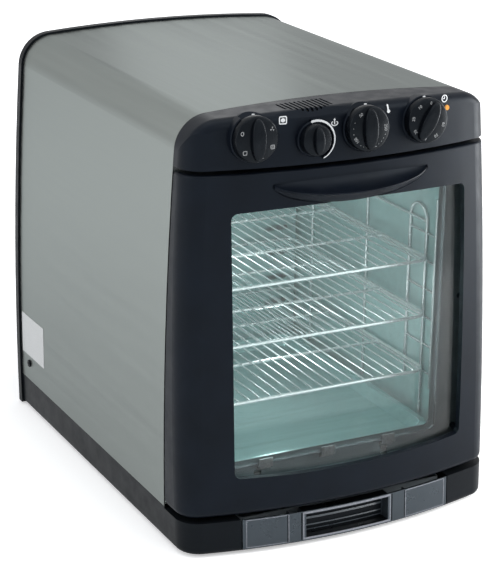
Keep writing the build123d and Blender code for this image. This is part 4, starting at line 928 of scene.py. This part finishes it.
def shelf_wires(node, sides):
    """Frame wire on a round-cornered rectangle, two cross bars under and a row of thin wires over it.

    The thin wires share the span between the corners evenly, and dip a little at both ends to their
    weld on the frame.
    """
    low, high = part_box(node)
    frame_radius, thin, corner, count = 2.2 * MM, 1.05 * MM, 16 * MM, 21
    level = low.z + frame_radius
    middle = ((low.x + high.x) / 2, (low.y + high.y) / 2)
    half_x, half_y = (high.x - low.x) / 2 - frame_radius, (high.y - low.y) / 2 - frame_radius
    loop = rounded_box(middle, half_x, half_y, corner, 7)
    path = np.column_stack([loop, np.full(len(loop), level)])
    parts = [wire(path, frame_radius, sides, closed=True)]
    for share in (0.32, 0.68):
        y = middle[1] + (2 * share - 1) * half_y
        ends = np.array([[middle[0] - half_x, y, level], [middle[0] + half_x, y, level]])
        parts.append(wire(ends, 2.0 * MM, sides))
    along = np.array([-1.0, -0.985, -0.95, 0.0, 0.95, 0.985, 1.0])
    dip = np.array([-0.6, -0.2, 0.0, 0.0, 0.0, -0.2, -0.6]) * MM
    for x in np.linspace(-(half_x - corner), half_x - corner, count):
        line = np.column_stack([np.full(len(along), middle[0] + x), middle[1] + along * half_y,
                                high.z - thin + dip])
        parts.append(wire(line, thin, sides))
    return merge(parts)


class COMBIOVEN_OT_shelf_wires(bpy.types.Operator):
    """Round-wire shelves in place of the plain ones"""
    bl_idname = "combioven.shelf_wires"
    bl_label = "Shelf Wires"

    def execute(self, context):
        s = context.scene.combioven_sizes
        for name in ("lower", "middle", "upper"):
            node = name + "_rack"
            piece = add_piece(name + "_shelf_wires", *shelf_wires(node, s.wire_sides), name + "_shelf",
                              "wire_chrome", FINISHES["wire_chrome"], smooth=True)
            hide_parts(node)
        return {"FINISHED"}


def ladder_wires(node, side, sides):
    """Wire ladder on a side wall: three posts under a head wire, and a rail with three cross bars per shelf.

    A second post and a hooked one stand by the front post, joined by short rungs. The hook is a half circle
    between two posts.
    """
    low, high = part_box(node)
    radius, thin, inset = 1.8 * MM, 1.3 * MM, 2 * MM
    post_x, rail_x = ((high.x, low.x), (low.x, high.x))[side < 0]
    post_x, rail_x = post_x - side * inset, rail_x + side * inset
    front, back, head = low.y + 20 * MM, high.y - 12 * MM, high.z - inset
    posts = (front, front + 142 * MM, back)
    across = (float(side), 0.0, 0.0)

    def bar(start, end, gauge=radius, up=(0.0, 0.0, 1.0)):
        return wire([start, end], gauge, sides, up=up)

    parts = [bar((post_x, y, low.z), (post_x, y, head), up=across) for y in posts]
    parts.append(bar((post_x, front, head), (post_x, back, head)))
    hook_reach = 19 * MM
    first, last, foot = front - 22 * MM, front + 2 * hook_reach, low.z + 40 * MM
    for name in ("lower_rack", "middle_rack", "upper_rack"):
        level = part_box(name)[0].z - 2.3 * MM
        parts.append(bar((rail_x, low.y, level), (rail_x, high.y, level)))
        parts += [bar((post_x, y, level), (rail_x, y, level)) for y in posts]
        parts += [bar((post_x, first, level + rise), (post_x, last, level + rise), thin)
                  for rise in (-6 * MM, 30 * MM)]
    turn = np.linspace(0, math.pi, 13)
    hook = np.column_stack([np.full(len(turn), post_x), front + hook_reach * (1 + np.cos(turn)),
                            head + hook_reach * np.sin(turn)])
    parts.append(wire(np.concatenate([[[post_x, last, foot]], hook]), radius, sides, up=across))
    parts.append(bar((post_x, first, foot), (post_x, first, head + 34 * MM), up=across))
    return merge(parts)


class COMBIOVEN_OT_ladder_wires(bpy.types.Operator):
    """Round-wire ladders with a hooked front post in place of the plain ones"""
    bl_idname = "combioven.ladder_wires"
    bl_label = "Ladder Wires"

    def execute(self, context):
        s = context.scene.combioven_sizes
        for name, side in (("left", -1), ("right", 1)):
            node = "rack_support_" + name
            piece = add_piece(name + "_ladder_wires", *ladder_wires(node, side, s.wire_sides), "chassis",
                              "wire_chrome", FINISHES["wire_chrome"], smooth=True)
            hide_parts(node)
        return {"FINISHED"}


def level_lines(press, start, end, count, levels):
    """Lines across the front from start to end, one for each (height, width) pair."""
    across = np.linspace(start, end, count)
    return [press.line(np.column_stack([across, np.full(count, z)]), width) for z, width in levels]


class COMBIOVEN_OT_drawer_trim(bpy.types.Operator):
    """Painted highlights on the edges, painted shade for the grooves and the finger recess, and recess ledges of
    the clear drawer front
    """
    bl_idname = "combioven.drawer_trim"
    bl_label = "Drawer Trim"

    def execute(self, context):
        thick = 0.04 * MM
        skin = Press(front_surface, 0.02 * MM, thick)
        low, high, left, right, end = 8.4 * MM, 40.8 * MM, -62.0 * MM, 50.0 * MM, 136 * MM
        field_left, field_right = left - 22 * MM, right + 26 * MM
        bold, fine, fringe = 2.4 * MM, 0.9 * MM, 0.8 * MM

        def uprights(places):
            rise = np.linspace(low - bold / 2, high + bold / 2, 3)
            return [skin.line(np.column_stack([np.full(3, x), rise]), width * MM) for x, width in places]

        # Pale bars along the recess and the fields: painted highlights on the edges.
        bars = level_lines(skin, left - 4 * MM, right + 4 * MM, 15, ((low, bold), (high, bold)))
        bars += uprights([(left - 3.2 * MM, 1.6), (right + 3.2 * MM, 1.6), (field_left, 0.9),
                          (field_right, 0.9), (-end, 0.9), (end, 0.9)])
        for start, stop in ((-end, field_left), (field_right, end)):
            bars += level_lines(skin, start, stop, 9, ((low - fringe, fine), (high + fringe, fine)))
        # Black strips beside the uprights: painted shade of the grooves.
        groove_shade = uprights([(left - 5.6 * MM, 1.6), (right + 5.6 * MM, 1.6), (left - 23.4 * MM, 1.2),
                            (right + 24.6 * MM, 1.2)])
        add_piece("drawer_groove_shade", *merge(groove_shade), "drawer", "black_moulding", FINISHES["black_moulding"])
        ledges = level_lines(Press(front_surface, -12.5 * MM, thick), left + 2 * MM, right - 2 * MM, 15,
                             ((28.5 * MM, 2.6 * MM), (19.5 * MM, 1.6 * MM), (14.0 * MM, 1.2 * MM)))
        add_piece("recess_ledges", *merge(ledges), "drawer", "smoked_clear", FINISHES["smoked_clear"])
        # Pale colour of the painted edge highlights.
        edge_highlight = coated("painted_edge_highlight", (0.20, 0.21, 0.235), (0.15, 0.16, 0.185), (0.25, 0.26, 0.29), 400.0, 2.0, 0.3)
        add_piece("drawer_edge_highlights", *merge(bars), "drawer", "smoked_clear", edge_highlight)
        # Black sheet at the back of the finger recess: painted shade.
        shade, = level_lines(Press(front_surface, -13.7 * MM, thick), left + MM, right - MM, 15,
                             ((24.5 * MM, 28 * MM),))
        add_piece("recess_painted_shade", *shade, "drawer", "black_moulding", FINISHES["black_moulding"])
        return {"FINISHED"}


class COMBIOVEN_PT_panel(bpy.types.Panel):
    """Lists the oven's pieces and their settings"""
    bl_idname = "COMBIOVEN_PT_panel"
    bl_label = "Combi Oven"
    bl_space_type = "VIEW_3D"
    bl_region_type = "UI"
    bl_category = "Combi Oven"

    def draw(self, context):
        for group in (context.scene.combioven_sizes, context.scene.combioven_colours):
            for name in group.__annotations__:
                self.layout.prop(group, name)
        for operator in OPERATORS:
            self.layout.operator(operator.bl_idname)


OPERATORS = (COMBIOVEN_OT_stage, COMBIOVEN_OT_materials, COMBIOVEN_OT_knobs, COMBIOVEN_OT_dial_prints,
             COMBIOVEN_OT_fascia_prints, COMBIOVEN_OT_crescent, COMBIOVEN_OT_side_label,
             COMBIOVEN_OT_shelf_wires, COMBIOVEN_OT_ladder_wires, COMBIOVEN_OT_drawer_trim)
CLASSES = (OvenSizes, OvenColours, *OPERATORS, COMBIOVEN_PT_panel)


def register():
    for item in CLASSES:
        bpy.utils.register_class(item)
    bpy.types.Scene.combioven_sizes = PointerProperty(type=OvenSizes)
    bpy.types.Scene.combioven_colours = PointerProperty(type=OvenColours)


def unregister():
    del bpy.types.Scene.combioven_sizes
    del bpy.types.Scene.combioven_colours
    for item in reversed(CLASSES):
        bpy.utils.unregister_class(item)


def main():
    """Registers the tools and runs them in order."""
    register()
    bpy.ops.combioven.stage()
    bpy.ops.combioven.materials()
    bpy.ops.combioven.knobs()
    bpy.ops.combioven.dial_prints()
    bpy.ops.combioven.fascia_prints()
    bpy.ops.combioven.crescent()
    bpy.ops.combioven.side_label()
    bpy.ops.combioven.shelf_wires()
    bpy.ops.combioven.ladder_wires()
    bpy.ops.combioven.drawer_trim()


if __name__ == "__main__":
    main()
